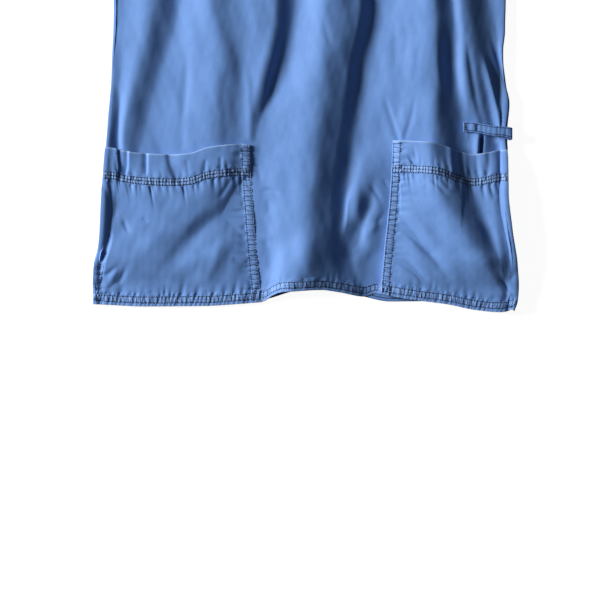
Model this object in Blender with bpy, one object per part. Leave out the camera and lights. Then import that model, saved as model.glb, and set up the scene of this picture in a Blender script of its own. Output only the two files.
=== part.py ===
"""Short-sleeved V-neck scrub top, laid out flat, front up.

World frame: +X towards the wearer's left, +Y towards the neck, +Z up out of the front.
Tables are in millimetres. "across" is X, "up" is the distance above the hem line.
"""
import math
from collections import namedtuple
from functools import lru_cache

import bmesh
import bpy
from mathutils import Vector

MM = 0.001

# Driving sizes of the garment
LENGTH = 700.0              # hem line to shoulder at the neck
HEM_LINE_Y = -345.25        # puts the middle of the garment's box at Y = 0
CLOTH = 1.5                 # wall of one panel
SEAM_GAP = 0.3              # between two pieces that are sewn together
SIDE_INSET = 1.2            # the front's folded sides start this far inside the garment's outline
HEM_DEPTH = 15.0            # turned hem of the body
HEM_EXTRA = 0.7             # the turned hem is this much thicker
UNDERARM_UP = 430.0
SHOULDER_TIP_UP = 672.0
SHOULDER_TIP_ACROSS = 205.0
NECK_ACROSS = 95.0          # panel's neck point, either side of the middle
V_POINT_UP = 545.0
BACK_NECK_DROP = 22.0
BAND_WIDTH = 22.0
CUFF_TOP = (425.0, 600.0)       # across, up
CUFF_BOTTOM = (386.0, 408.0)
SLEEVE_ROOM = 2.6           # clear height inside a sleeve
POCKET_HEM_DEPTH = 37.0
POCKET_HEM_EXTRA = 0.5
POCKET_PUFF = {"right": 5.0, "left": 7.0}       # how far a pocket stands off the front
POCKET_LEVEL = {"right": 6.5, "left": 12.0}     # height towards which it bridges the folds
POCKET_BRIDGING = {"right": 0.9, "left": 0.4}
MOUTH_CLOSING = {"right": 0.3, "left": 0.6}     # part of the standoff that is lost at the mouth
MOUTH_CLOSING_START = 145.0
# Part of its width over which a pocket rises from its inner edge, and from its outer edge
POCKET_SEAM_SHARE = {"right": 0.35, "left": 0.6}
POCKET_OUTER_SHARE = {"right": 0.07, "left": 0.12}
POCKET_BOTTOM_RISE = 45.0   # and the height over which it rises from the hem
LOOP_WIDTH = 12.0
LOOP_START_ACROSS = 188.0
LOOP_END_ACROSS = 247.0
LOOP_START_UP = 215.8
LOOP_SLOPE = -0.13          # the strip runs down a little towards its free end
LOOP_ROOM = 3.0             # between the two layers at the bend
LOOP_CREST_ACROSS = 206.5   # crest F, where the strip leaves the front and runs on free
LOOP_STANDOFF = 1.3         # under the strip, where it lies on the front
LOOP_DROOP = 0.03           # fall of the free end, as a slope

LIGHT_BLUE = (0.205, 0.340, 0.680, 1.0)

Knot = namedtuple("Knot", "at value")
Fold = namedtuple("Fold", "name across height segments")
Crease = namedtuple("Crease", "across up width depth")

# Side edges of the front, up the garment
RIGHT_EDGE = [Knot(-12, -263), Knot(25, -263), Knot(47, -261.5), Knot(67, -256.5), Knot(84, -254.3),
              Knot(127, -252), Knot(190, -247.5), Knot(250, -242.5), Knot(300, -239.7),
              Knot(370, -238), Knot(430, -243)]
LEFT_EDGE = [Knot(-12, 250), Knot(5, 254.5), Knot(20, 255.5), Knot(50, 253.5), Knot(92, 247),
             Knot(136, 242.4), Knot(175, 242.6), Knot(205, 240.5), Knot(245, 244.5), Knot(271, 241),
             Knot(306, 237.6), Knot(334, 240.2), Knot(370, 241), Knot(430, 243)]
ARMHOLE = [Knot(430, 243), Knot(440, 228), Knot(462, 212), Knot(510, 202), Knot(590, 200),
           Knot(672, 205), Knot(705, 207)]

# Hem edges, across the garment
FRONT_HEM = [Knot(-264, 0), Knot(-200, -2.5), Knot(-130, -2), Knot(-72, 1.5), Knot(-57, 3),
             Knot(-42, 10.5), Knot(-27, 15), Knot(14, 17.5), Knot(35, 15), Knot(68, 9.5),
             Knot(81, 13.5), Knot(101, 10), Knot(132, 5), Knot(169, 0), Knot(204, -7),
             Knot(232, -9.5), Knot(258, -5)]
BACK_HEM = [Knot(-264, 1.7), Knot(-132, 0.5), Knot(-57, 5.5), Knot(-10, 17), Knot(35, 17.5),
            Knot(57, 13.5), Knot(68, 9.5), Knot(99, 3.5), Knot(160, 4), Knot(204, -2), Knot(231, -5.5),
            Knot(258, -3)]

# Folds of the front: crests and troughs, from the wearer's right to the left.
# Each row gives where the line runs and how high it stands, at these heights above the hem, and the
# number of columns of points from the line before it. Beside a side edge "across" is measured from it.
FOLD_UP = (0, 60, 130, 205, 285, 365, 545, 700)
RIGHT_RIM = [
    Fold("right rim", (0.8, 0.8, 0.8, 0.8, 0.8, 0.8, 10, 8), (3, 8, 12.5, 8, 5.5, 3.5, 3, 2), 1),
    Fold("right hollow", (8, 14, 20, 13, 10, 12, 18, 13), (2.4, 2.6, 2.6, 4, 4.6, 4.2, 2.2, 2.0), 3),
]
FOLDS = [
    Fold("crest A", (-248, -240, -226, -225, -208, -191, -180, -192), (3, 3, 3, 8.5, 9.5, 10, 5, 2.2), 3),
    Fold("trough A", (-230, -226, -214, -198, -178, -159, -152, -178),
         (2.2, 2.2, 2.2, 2.4, 2.4, 2.4, 2.2, 2), 3),
    Fold("crest B", (-200, -170, -112, -110, -104, -115, -118, -158),
         (3.5, 4, 5, 12.5, 15.5, 15.5, 6, 2.2), 4),
    Fold("trough B", (-150, -120, -86, -80, -81, -92, -90, -140), (3, 3, 4, 8, 10.5, 11.5, 3, 2), 4),
    Fold("crest C", (-58, -63, -68, -72, -57, -41, -58, -124), (3, 5, 5.5, 8, 12.5, 14.5, 6, 2.2), 3),
    Fold("trough C", (-48, -50, -57, -61, -35, -16, -30, -109), (5, 5.5, 6, 7, 4.5, 5, 3, 2), 3),
    Fold("crest D", (-22, -4, 2, 6, 16, 25, 0, 0), (17, 20, 20, 20, 20, 20, 6, 2.4), 4),
    Fold("flank D", (32, 26, 24, 35, 46, 60, 34, 106), (12.5, 12.5, 12, 12, 13, 13.5, 4.2, 2.2), 3),
    Fold("trough D", (76, 49, 46, 56, 67, 80, 56, 109), (2.5, 2.5, 2.5, 2.2, 2.2, 2.2, 2.2, 2), 3),
    Fold("shoulder E", (82, 78, 60, 76, 84, 97, 78, 120), (5, 6, 8, 5, 5, 5, 3.5, 2.2), 3),
    Fold("seam E", (88, 92, 99, 103, 106, 116, 94, 128), (6, 6, 6, 9.5, 10.5, 10.5, 4.5, 2.3), 3),
    Fold("crest E", (236, 204, 161, 155, 154, 151, 116, 140), (8.5, 15.5, 18, 20, 21.5, 22, 7, 2.3), 5),
    Fold("trough E", (243, 229, 200, 190, 178, 174, 140, 155), (7, 10, 9, 9, 11, 13.5, 3, 2), 3),
    Fold("crest F", (244.5, 238, 216, 207, 194, 185, 156, 166), (7.5, 11.5, 11, 11, 17, 18, 6, 2.2), 2),
    Fold("trough F", (246, 243.5, 231, 234, 232, 221, 172, 178), (8.5, 13.5, 13, 5.5, 6, 5, 2.2, 2), 3),
]
LEFT_RIM = [
    Fold("left rim", (1.2, 1.2, 1.2, 1.2, 1.2, 1.2, 10, 8), (11, 18, 19, 9.5, 9, 7.5, 3, 2.2), 2),
]
CENTRE_FOLD = 6             # crest D runs into the point of the V
SPLIT_STEP = 0.001          # keeps its two lines apart where they run as one
SEAM_HEIGHT = CLOTH + SEAM_GAP
LINE_NAMES = ["right edge"] + [fold.name for fold in RIGHT_RIM + FOLDS + LEFT_RIM] + ["left edge"]
SPLIT_INTERVAL = LINE_NAMES.index(FOLDS[CENTRE_FOLD].name)
LINE_NAMES.insert(SPLIT_INTERVAL + 1, "centre split")

# Pockets lie between the rolled side and the fold line that their inner edge is sewn along
POCKET_LINES = {"right": ("right rim", "crest C"), "left": ("seam E", "left rim")}
POCKET_TOP_ROW = 190
MOUTH = [Knot(-252, 190.5), Knot(-246, 190.5), Knot(-209, 184.5), Knot(-169, 182.3), Knot(-146, 183.5),
         Knot(-120, 191.5), Knot(-82, 195), Knot(-68, 194), Knot(-45, 190), Knot(80, 191),
         Knot(100, 199), Knot(134, 197.5), Knot(156, 194.7), Knot(179, 186.3), Knot(201, 182.3),
         Knot(215, 184), Knot(232, 187), Knot(250, 187.5)]
MOUTH_REACH = 45.0          # rows of points bend to the mouth line this far above and below it
# Soft troughs in the pockets, and a ridge where the depth is negative
POCKET_CREASES = {
    "right": [Crease((-76, -118, -176), (150, 100, 50), 16, 1.5)],
    "left": [Crease((157, 164, 191, 212, 224), (160, 130, 79, 42, 26), 20, -5.5),
             Crease((112, 160), (96, 48), 11, 1.6)],
}

HEM_SWAY_END = 300.0        # rows follow the wavy hem up to here
SHOULDER_SLOPE_START = 545.0
ARMHOLE_ROWS = (430, 440, 462, 490, 520, 545, 587, 630, 672)
ARMHOLE_GAP = 0.6
BAND_GAP = 0.9              # up the garment, 0.3 to 0.5 mm square to the slanting edge
NECK_BAND_END = 0.43        # of the shoulder's width
SLEEVE_STATIONS = 8
SLEEVE_OPENS_OVER = 0.33    # part of a sleeve's length, from the armhole
TILT_END = 425.0            # the wall is measured square to the folds below TILT_START, and
TILT_START = 395.0          # straight up above TILT_END, beside the sleeves
EDGE_SEGMENTS = 2           # columns round the side on the wearer's left
FRONT_ROWS = (0, 15, 32, 52, 74, 98, 124, 148, 170, 190, 210, 232, 256, 282, 310, 340, 370, 400, 430,
              440, 462, 490, 520, 545, 585, 620, 660, 700)
BACK_COLUMNS = (-1.0, -0.82, -0.64, -0.463, -0.32, -0.16, 0.0, 0.16, 0.32, 0.463, 0.64, 0.82, 1.0)
BACK_INSET = 0.6            # the back's side edges lie this far inside the front's
BACK_ROWS = (0, 15, 60, 84, 130, 190, 245, 306, 370, 430, 440, 462, 490, 520, 545, 600, 650, 700)


def eased(start, length, at):
    """Smooth step from 0 to 1 that begins at start and takes length."""
    fraction = min(1.0, max(0.0, (at - start) / length))
    return 0.5 - 0.5 * math.cos(math.pi * fraction)


def through(knots, at):
    """Value of the smooth, never overshooting curve through the knots."""
    if at <= knots[0].at:
        return knots[0].value
    for low, high in zip(knots, knots[1:]):
        if at <= high.at:
            break
    else:
        return knots[-1].value
    index = knots.index(low)
    slopes = []
    for middle in (index, index + 1):
        here = knots[middle]
        before = knots[max(middle - 1, 0)]
        after = knots[min(middle + 1, len(knots) - 1)]
        run_in = (here.value - before.value) / max(here.at - before.at, 1e-9)
        run_out = (after.value - here.value) / max(after.at - here.at, 1e-9)
        if run_in * run_out <= 0:
            slopes.append(0.0)
        else:
            slopes.append(2 * run_in * run_out / (run_in + run_out))
    span = high.at - low.at
    t = (at - low.at) / span
    start = (1 + 2 * t) * (1 - t) ** 2 * low.value + t * (1 - t) ** 2 * span * slopes[0]
    end = t ** 2 * (3 - 2 * t) * high.value - t ** 2 * (1 - t) * span * slopes[1]
    return start + end


def right_edge(up):
    """Edge on the wearer's right, side seam and then armhole."""
    if up > UNDERARM_UP:
        return -through(ARMHOLE, up)
    return through(RIGHT_EDGE, up)


def left_edge(up):
    """Edge on the wearer's left, side seam and then armhole."""
    if up > UNDERARM_UP:
        return through(ARMHOLE, up)
    return through(LEFT_EDGE, up)


def neck_edge(up):
    """How far the front's V stands from the middle."""
    return max(0.0, NECK_ACROSS * (up - V_POINT_UP) / (LENGTH - V_POINT_UP))


def fold_run(values, up):
    """Value of one of a fold's runs at a height."""
    return through(fold_table(tuple(values)), up)


@lru_cache
def fold_table(values):
    return [Knot(up, value) for up, value in zip(FOLD_UP, values)]


def fold_lines(up):
    """Every line of the front at one height, edge to edge, as knots of across and height."""
    inset = SIDE_INSET * eased(0, TILT_END - TILT_START, TILT_END - up)
    right = right_edge(up) + inset
    left = left_edge(up) - inset
    lines = [Knot(right, SEAM_HEIGHT)]
    lines += [Knot(right + fold_run(fold.across, up), fold_run(fold.height, up)) for fold in RIGHT_RIM]
    for index, fold in enumerate(FOLDS):
        place = fold_run(fold.across, up)
        height = fold_run(fold.height, up)
        if index == CENTRE_FOLD:
            split = neck_edge(up)
            lines.append(Knot(place - split, height))
            place += split + SPLIT_STEP
        lines.append(Knot(place, height))
    lines += [Knot(left - fold_run(fold.across, up), fold_run(fold.height, up)) for fold in LEFT_RIM]
    lines.append(Knot(left, SEAM_HEIGHT))
    return lines


def relief(across, up):
    """Height of the front's inner face over the ground."""
    lines = fold_lines(up)
    rim = lines[-2]
    if across > rim.at:
        fraction = min((across - rim.at) / max(lines[-1].at - rim.at, 1e-6), 1.0)
        return SEAM_HEIGHT + (rim.value - SEAM_HEIGHT) * math.cos(0.5 * math.pi * fraction)
    return through(lines, across)


def world(across, up, height):
    """Point in the world, in metres."""
    return Vector((across, up + HEM_LINE_Y, height)) * MM


def facing(across, up):
    """Unit vector out of the front's surface, straight up beside the sleeves."""
    reach = CLOTH
    here = relief(across, up)
    rise_before = math.atan((here - relief(across - reach, up)) / reach)
    rise_after = math.atan((relief(across + reach, up) - here) / reach)
    slope_across = math.tan(0.5 * (rise_before + rise_after))
    slope_up = (relief(across, up + reach) - relief(across, up - reach)) / (2 * reach)
    tilt = eased(0, TILT_END - TILT_START, TILT_END - up)
    return Vector((-slope_across * tilt, -slope_up * tilt, 1)).normalized()


def on_front(across, up, out):
    """Point on the front, moved out along its surface's direction."""
    return world(across, up, relief(across, up)) + facing(across, up) * out * MM


def wall_of_front(above_hem):
    """Thickness of the front, more in its turned hem."""
    return CLOTH + (HEM_EXTRA if above_hem <= HEM_DEPTH else 0.0)


def shoulder_up(across):
    """Height of the shoulder seam."""
    fraction = (abs(across) - NECK_ACROSS) / (SHOULDER_TIP_ACROSS - NECK_ACROSS)
    return LENGTH - (LENGTH - SHOULDER_TIP_UP) * min(max(fraction, 0.0), 1.0)


def up_at(row, across, hem, top):
    """Height of a row of points: straight in the chest, bent to the hem below and the shoulders above."""
    if row < HEM_SWAY_END:
        return row + through(hem, across) * (1 - row / HEM_SWAY_END)
    if row > SHOULDER_SLOPE_START:
        return row - (LENGTH - top(across)) * (row - SHOULDER_SLOPE_START) / (LENGTH - SHOULDER_SLOPE_START)
    return row


def front_up(row, across):
    """Height of a row of the front's points, which also bends to the pockets' mouths."""
    up = up_at(row, across, FRONT_HEM, shoulder_up)
    near = max(0.0, 1 - abs(row - POCKET_TOP_ROW) / MOUTH_REACH)
    return up + near * (through(MOUTH, across) - up_at(POCKET_TOP_ROW, across, FRONT_HEM, shoulder_up))


def front_place(place, row):
    """Where a column and a row of the front's points cross."""
    up = row
    for _ in range(3):
        across = place_across(place, up)
        up = front_up(row, across)
    return place_across(place, up), up


def cloth(name):
    """Material of one node."""
    material = bpy.data.materials.new(name)
    material.use_nodes = True
    shader = material.node_tree.nodes["Principled BSDF"]
    shader.inputs["Base Color"].default_value = LIGHT_BLUE
    shader.inputs["Roughness"].default_value = 0.6
    shader.inputs["Metallic"].default_value = 0.0
    return material


def closed_wall(name, outer, inner, faces):
    """Closed body between an outer and an inner copy of the same faces."""
    mesh = bmesh.new()
    used = sorted({index for face in faces for index in face})
    outer_verts = {index: mesh.verts.new(outer[index]) for index in used}
    inner_verts = {index: mesh.verts.new(inner[index]) for index in used}
    rim = {}
    for face in faces:
        mesh.faces.new([outer_verts[index] for index in face])
        mesh.faces.new([inner_verts[index] for index in reversed(face)])
        for start, end in zip(face, face[1:] + face[:1]):
            if (end, start) in rim:
                del rim[(end, start)]
            else:
                rim[(start, end)] = True
    for start, end in rim:
        mesh.faces.new([outer_verts[end], outer_verts[start], inner_verts[start], inner_verts[end]])
    data = bpy.data.meshes.new(name)
    mesh.to_mesh(data)
    mesh.free()
    data.shade_smooth()
    data.set_sharp_from_angle(angle=math.radians(50))
    data.materials.append(cloth(name))
    part = bpy.data.objects.new(name, data)
    bpy.context.scene.collection.objects.link(part)
    return part


def grid_faces(rows, columns, wrap=False):
    """Triangles over a grid of points stored row by row, facing +Z when rows run up.

    All are split along the same diagonal, so that a sheet moved out from another stays clear of it.
    """
    faces = []
    for row in range(rows - 1):
        for column in range(columns if wrap else columns - 1):
            after = (column + 1) % columns
            low = row * columns
            high = low + columns
            faces.append([low + column, low + after, high + after])
            faces.append([low + column, high + after, high + column])
    return faces


def column_places():
    """Where the front's columns of points lie: (interval between two lines, fraction of it)."""
    segments = [fold.segments for fold in RIGHT_RIM + FOLDS + LEFT_RIM]
    segments.insert(SPLIT_INTERVAL, 0)
    segments.append(EDGE_SEGMENTS)
    places = []
    for interval, count in enumerate(segments):
        if count == 0:
            places.append((interval, 0.0))
        places += [(interval, step / count) for step in range(count)]
    places.append((len(segments) - 1, 1.0))
    return places


def place_across(place, up):
    """Where one of those columns lies at a height."""
    interval, fraction = place
    lines = fold_lines(up)
    low, high = lines[interval].at, lines[interval + 1].at
    return low + (high - low) * fraction


def make_front():
    """Front panel: one sheet below the V, two above it, folded by the fold lines."""
    places = column_places()
    split = places.index((SPLIT_INTERVAL, 0.0))
    columns = len(places)
    outer = []
    inner = []
    for row in FRONT_ROWS:
        for place in places:
            across, up = front_place(place, row)
            outer.append(on_front(across, up, wall_of_front(row)))
            inner.append(on_front(across, up, 0))
    joined = {}
    for index, row in enumerate(FRONT_ROWS):
        if row <= V_POINT_UP:
            joined[index * columns + split + 1] = index * columns + split
    faces = [[joined.get(index, index) for index in face]
             for face in grid_faces(len(FRONT_ROWS), columns) if face[0] % columns != split]
    return closed_wall("front", outer, inner, faces)


def back_top(across):
    """Top edge of the back: shoulder seams with a shallow scoop between them."""
    if abs(across) >= NECK_ACROSS:
        return shoulder_up(across)
    return LENGTH - BACK_NECK_DROP * math.cos(0.5 * math.pi * across / NECK_ACROSS)


def make_back():
    """Back panel: one flat sheet with its own hem line."""
    outer = []
    inner = []
    for row in BACK_ROWS:
        for share in BACK_COLUMNS:
            across = share * SHOULDER_TIP_ACROSS
            for _ in range(2):
                up = up_at(row, across, BACK_HEM, back_top)
                side = right_edge(up) if share < 0 else left_edge(up)
                across = abs(share) * (side - math.copysign(BACK_INSET, side))
            outer.append(world(across, up, CLOTH))
            inner.append(world(across, up, 0))
    return closed_wall("back", outer, inner, grid_faces(len(BACK_ROWS), len(BACK_COLUMNS)))


def make_sleeve(name, side):
    """Sleeve: a flattened tube from the armhole to the cuff."""
    span = ARMHOLE_ROWS[-1] - ARMHOLE_ROWS[0]
    outer = []
    inner = []
    for station in range(SLEEVE_STATIONS + 1):
        along = station / SLEEVE_STATIONS
        room = SEAM_GAP + (SLEEVE_ROOM - SEAM_GAP) * eased(0, SLEEVE_OPENS_OVER, along)
        middle = CLOTH + 0.5 * room
        path = []
        for up in ARMHOLE_ROWS:
            share = (up - ARMHOLE_ROWS[0]) / span
            start = (through(ARMHOLE, up) + ARMHOLE_GAP, up)
            end = [low + (high - low) * share for low, high in zip(CUFF_BOTTOM, CUFF_TOP)]
            path.append((start[0] + (end[0] - start[0]) * along, start[1] + (end[1] - start[1]) * along))
        for points, extra in ((outer, CLOTH), (inner, 0.0)):
            half = 0.5 * room + extra
            ring = [(path[0][0] + extra, path[0][1], middle)]
            ring += [(across, up, middle + half) for across, up in path[1:-1]]
            ring += [(path[-1][0], path[-1][1] + extra, middle)]
            ring += [(across, up, middle - half) for across, up in reversed(path[1:-1])]
            points += [world(side * across, up, height) for across, up, height in ring]
    faces = grid_faces(SLEEVE_STATIONS + 1, 2 * len(ARMHOLE_ROWS) - 2, wrap=True)
    if side > 0:
        faces = [list(reversed(face)) for face in faces]
    return closed_wall(name, outer, inner, faces)


def make_pocket(name, side):
    """Patch pocket: the front's own points, moved out, open at the top."""
    start, end = (LINE_NAMES.index(line) for line in POCKET_LINES[side])
    places = [place for place in column_places() if start <= place[0] < end]
    places.append((end - 1, 1.0))
    rows = [row for row in FRONT_ROWS if row <= POCKET_TOP_ROW]
    outer = []
    inner = []
    for row in rows:
        for place in places:
            across, up = front_place(place, row)
            low = place_across((start, 0.0), up)
            high = place_across((end - 1, 1.0), up)
            lift = pocket_lift(side, (across - low) / (high - low), across, up)
            base = wall_of_front(row) + SEAM_GAP
            wall = CLOTH + (POCKET_HEM_EXTRA if row > POCKET_TOP_ROW - POCKET_HEM_DEPTH else 0.0)
            inner.append(on_front(across, up, base) + Vector((0, 0, lift * MM)))
            outer.append(on_front(across, up, base + wall) + Vector((0, 0, lift * MM)))
    return closed_wall(name, outer, inner, grid_faces(len(rows), len(places)))


def pocket_lift(side, share, across, up):
    """How far a pocket stands off the front: nothing at its sewn edges, and less in its troughs."""
    outer_share = share if side == "right" else 1 - share
    inside = eased(0, POCKET_OUTER_SHARE[side], outer_share) * eased(0, POCKET_SEAM_SHARE[side], 1 - outer_share)
    above = eased(HEM_DEPTH, POCKET_BOTTOM_RISE, up)
    to_mouth = eased(MOUTH_CLOSING_START, POCKET_TOP_ROW - MOUTH_CLOSING_START, up)
    puff = POCKET_PUFF[side] + POCKET_BRIDGING[side] * (POCKET_LEVEL[side] - relief(across, up))
    puff *= 1.0 - to_mouth * MOUTH_CLOSING[side]
    puff -= dent(POCKET_CREASES[side], across, up)
    return max(puff, 0.0) * inside * above


def dent(creases, across, up):
    """Depth of the soft troughs at a point, less the height of the ridges."""
    total = 0.0
    for crease in creases:
        nearest = 1e9
        path = list(zip(crease.across, crease.up))
        for (x0, y0), (x1, y1) in zip(path, path[1:]):
            run = (x1 - x0, y1 - y0)
            share = ((across - x0) * run[0] + (up - y0) * run[1]) / (run[0] ** 2 + run[1] ** 2)
            share = min(max(share, 0.0), 1.0)
            away = math.hypot(across - x0 - share * run[0], up - y0 - share * run[1])
            nearest = min(nearest, away)
        total += crease.depth * math.exp(-(nearest / crease.width) ** 2)
    return total


def make_front_neck_band():
    """Band along the V: flat against the front's edge, mitred at the point."""
    along = (0.0, 0.12, 0.3, 0.5, 0.7, 0.88, 1.0)
    width_shares = (0.0, 0.5, 1.0)
    reach = LENGTH - V_POINT_UP
    rise = BAND_WIDTH * math.hypot(NECK_ACROSS, reach) / NECK_ACROSS
    outer = []
    inner = []
    for side in (-1, 1):
        for share_up in along:
            for share in width_shares:
                low = V_POINT_UP + BAND_GAP + rise * share
                up = low + (LENGTH - low) * share_up
                across = side * NECK_ACROSS * (up - low) / reach
                height = relief(side * neck_edge(up), up)
                inner.append(world(across, up, height))
                outer.append(world(across, up, height + CLOTH))
    one_side = grid_faces(len(along), len(width_shares))
    other = len(along) * len(width_shares)
    at_point = {other + column: column for column in range(len(width_shares))}
    faces = list(one_side)
    for face in one_side:
        faces.append([at_point.get(index + other, index + other) for index in reversed(face)])
    return closed_wall("front_neck_band", outer, inner, faces)


def make_back_neck_band():
    """Band along the back's scooped neck, flat, filling the scoop from its edge."""
    columns = [share for share in BACK_COLUMNS if abs(share) < NECK_BAND_END]
    columns = [-NECK_BAND_END] + columns + [NECK_BAND_END]
    outer = []
    inner = []
    for share_up in (0.0, 1.0):
        for share in columns:
            across = share * SHOULDER_TIP_ACROSS
            edge = back_top(across) + 2 * SEAM_GAP
            top = min(edge + BAND_WIDTH, LENGTH)
            up = edge + (top - edge) * share_up
            inner.append(world(across, up, 0.0))
            outer.append(world(across, up, CLOTH))
    return closed_wall("back_neck_band", outer, inner, grid_faces(2, len(columns)))


def loop_up(across):
    """Height above the hem of the strip's middle line."""
    return LOOP_START_UP + LOOP_SLOPE * (across - LOOP_START_ACROSS)


def make_utility_loop():
    """Doubled strip: both ends sewn down at one end, the bend free at the other."""
    steps = 14
    sewn_steps = 3
    opening_steps = 8
    end = LOOP_END_ACROSS - CLOTH - 0.5 * LOOP_ROOM
    lower = []
    upper = []
    for step in range(steps + 1):
        across = LOOP_START_ACROSS + (end - LOOP_START_ACROSS) * step / steps
        free = max(0.0, across - LOOP_CREST_ACROSS)
        height = relief(across - free, loop_up(across)) + CLOTH + LOOP_STANDOFF - free * LOOP_DROOP
        room = SEAM_GAP + LOOP_ROOM * eased(sewn_steps, opening_steps, step)
        lower.append((across, height))
        upper.append((across, height + CLOTH + room))
    outer_radius = 0.5 * (room + 2 * CLOTH)
    middle = height + outer_radius
    bend = [math.radians(angle) for angle in (-60, -30, 0, 30, 60)]

    def arc(radius):
        return [(end + radius * math.cos(angle), middle + radius * math.sin(angle)) for angle in bend]

    def raised(path):
        return [(across, height + CLOTH) for across, height in path]

    outer_path = lower + arc(outer_radius) + raised(reversed(upper))
    inner_path = raised(lower) + arc(outer_radius - CLOTH) + list(reversed(upper))
    edges = (-0.5 * LOOP_WIDTH, 0.5 * LOOP_WIDTH)
    outer = [world(across, loop_up(across) + edge, height) for edge in edges for across, height in outer_path]
    inner = [world(across, loop_up(across) + edge, height) for edge in edges for across, height in inner_path]
    faces = [list(reversed(face)) for face in grid_faces(2, len(outer_path))]
    return closed_wall("utility_loop", outer, inner, faces)


def main():
    for old in list(bpy.data.objects):
        bpy.data.objects.remove(old)
    make_back()
    make_front()
    make_sleeve("sleeve_right", -1)
    make_sleeve("sleeve_left", 1)
    make_pocket("pocket_right", "right")
    make_pocket("pocket_left", "left")
    make_front_neck_band()
    make_back_neck_band()
    make_utility_loop()


main()
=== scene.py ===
"""Short-sleeved V-neck scrub top, laid out flat, front up: the cloth, its seams and its stitching.

Tables are in millimetres. "across" is X, towards the wearer's left, and "up" is the distance above
the hem line. "right" and "left" are the wearer's, so the wearer's right is on the picture's left.
"""

import math
from collections import namedtuple
from functools import partial

import bmesh
import bpy
import numpy as np
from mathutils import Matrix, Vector


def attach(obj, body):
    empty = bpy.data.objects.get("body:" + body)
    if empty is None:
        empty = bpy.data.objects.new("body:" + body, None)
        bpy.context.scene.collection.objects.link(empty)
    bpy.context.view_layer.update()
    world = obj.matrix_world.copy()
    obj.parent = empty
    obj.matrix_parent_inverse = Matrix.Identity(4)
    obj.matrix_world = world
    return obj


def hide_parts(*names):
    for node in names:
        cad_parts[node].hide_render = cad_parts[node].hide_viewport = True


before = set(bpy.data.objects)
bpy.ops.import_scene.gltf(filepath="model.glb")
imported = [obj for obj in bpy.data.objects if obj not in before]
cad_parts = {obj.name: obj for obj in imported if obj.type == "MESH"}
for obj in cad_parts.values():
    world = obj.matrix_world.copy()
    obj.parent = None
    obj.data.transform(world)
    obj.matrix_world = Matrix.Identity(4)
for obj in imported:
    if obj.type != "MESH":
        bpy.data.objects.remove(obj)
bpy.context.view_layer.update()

MM = 0.001

# The garment's sizes, as in the part
LENGTH = 700.0
HEM_LINE_Y = -345.25
CLOTH = 1.5
SEAM_GAP = 0.3
SEAM_HEIGHT = CLOTH + SEAM_GAP
SIDE_INSET = 1.2
BACK_INSET = 0.6
HEM_DEPTH = 15.0
HEM_EXTRA = 0.7
HEM_SWAY_END = 300.0
UNDERARM_UP = 430.0
TILT_START = 395.0
TILT_END = 425.0
SHOULDER_SLOPE_START = 545.0
SHOULDER_TIP_UP = 672.0
SHOULDER_TIP_ACROSS = 205.0
NECK_ACROSS = 95.0
V_POINT_UP = 545.0
BACK_NECK_DROP = 22.0
BAND_WIDTH = 22.0
BAND_GAP = 0.9
NECK_BAND_END = 0.43
ARMHOLE_BOTTOM_UP = 430.0
CUFF_TOP = (425.0, 600.0)
CUFF_BOTTOM = (386.0, 408.0)
SLEEVE_ROOM = 2.6
SLEEVE_OPENS_OVER = 0.33
SLEEVE_HEM = 25.0
SLEEVE_SPAN = math.hypot(CUFF_TOP[0] - SHOULDER_TIP_ACROSS, CUFF_TOP[1] - SHOULDER_TIP_UP)
POCKET_TOP_ROW = 190
POCKET_HEM_DEPTH = 37.0
POCKET_HEM_EXTRA = 0.5
BAND_ROW = POCKET_TOP_ROW - POCKET_HEM_DEPTH - 4    # from here a pocket's rows follow its mouth
POCKET_PUFF = {"right": 5.0, "left": 7.0}
POCKET_LEVEL = {"right": 6.5, "left": 12.0}
POCKET_BRIDGING = {"right": 0.9, "left": 0.4}
MOUTH_CLOSING = {"right": 0.3, "left": 0.6}
MOUTH_CLOSING_START = 145.0
POCKET_SEAM_SHARE = {"right": 0.35, "left": 0.6}
POCKET_OUTER_SHARE = {"right": 0.07, "left": 0.12}
POCKET_BOTTOM_RISE = 45.0
LOOP_WIDTH = 12.0
LOOP_START_ACROSS = 188.0
LOOP_END_ACROSS = 247.0
LOOP_START_UP = 215.8
LOOP_SLOPE = -0.13
LOOP_ROOM = 3.0
LOOP_CREST_ACROSS = 206.5
LOOP_STANDOFF = 1.3
LOOP_DROOP = 0.03
LOOP_BEND_ACROSS = LOOP_END_ACROSS - CLOTH - 0.5 * LOOP_ROOM
LOOP_STEPS = 40             # along one layer
LOOP_OPENS = (8.5, 23.0)    # the step from which the layers part, and over how many

Knot = namedtuple("Knot", "at value")
Fold = namedtuple("Fold", "name across height")
Crease = namedtuple("Crease", "across up width depth")


def rows_of(kind, rows):
    """A table: each of its rows with the column names of kind."""
    return [kind(*row) for row in rows]


RIGHT_EDGE = rows_of(Knot, [(-12, -263), (25, -263), (47, -261.5), (67, -256.5), (84, -254.3), (127, -252),
    (190, -247.5), (250, -242.5), (300, -239.7), (370, -238), (430, -243)])
LEFT_EDGE = rows_of(Knot, [(-12, 250), (5, 254.5), (20, 255.5), (50, 253.5), (92, 247), (136, 242.4),
    (175, 242.6), (205, 240.5), (245, 244.5), (271, 241), (306, 237.6), (334, 240.2), (370, 241),
    (430, 243)])
ARMHOLE = rows_of(Knot, [(430, 243), (440, 228), (462, 212), (510, 202), (590, 200), (672, 205),
    (705, 207)])
FRONT_HEM = rows_of(Knot, [(-264, 0), (-200, -2.5), (-130, -2), (-72, 1.5), (-57, 3), (-42, 10.5),
    (-27, 15), (14, 17.5), (35, 15), (68, 9.5), (81, 13.5), (101, 10), (132, 5), (169, 0), (204, -7),
    (232, -9.5), (258, -5)])
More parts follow.
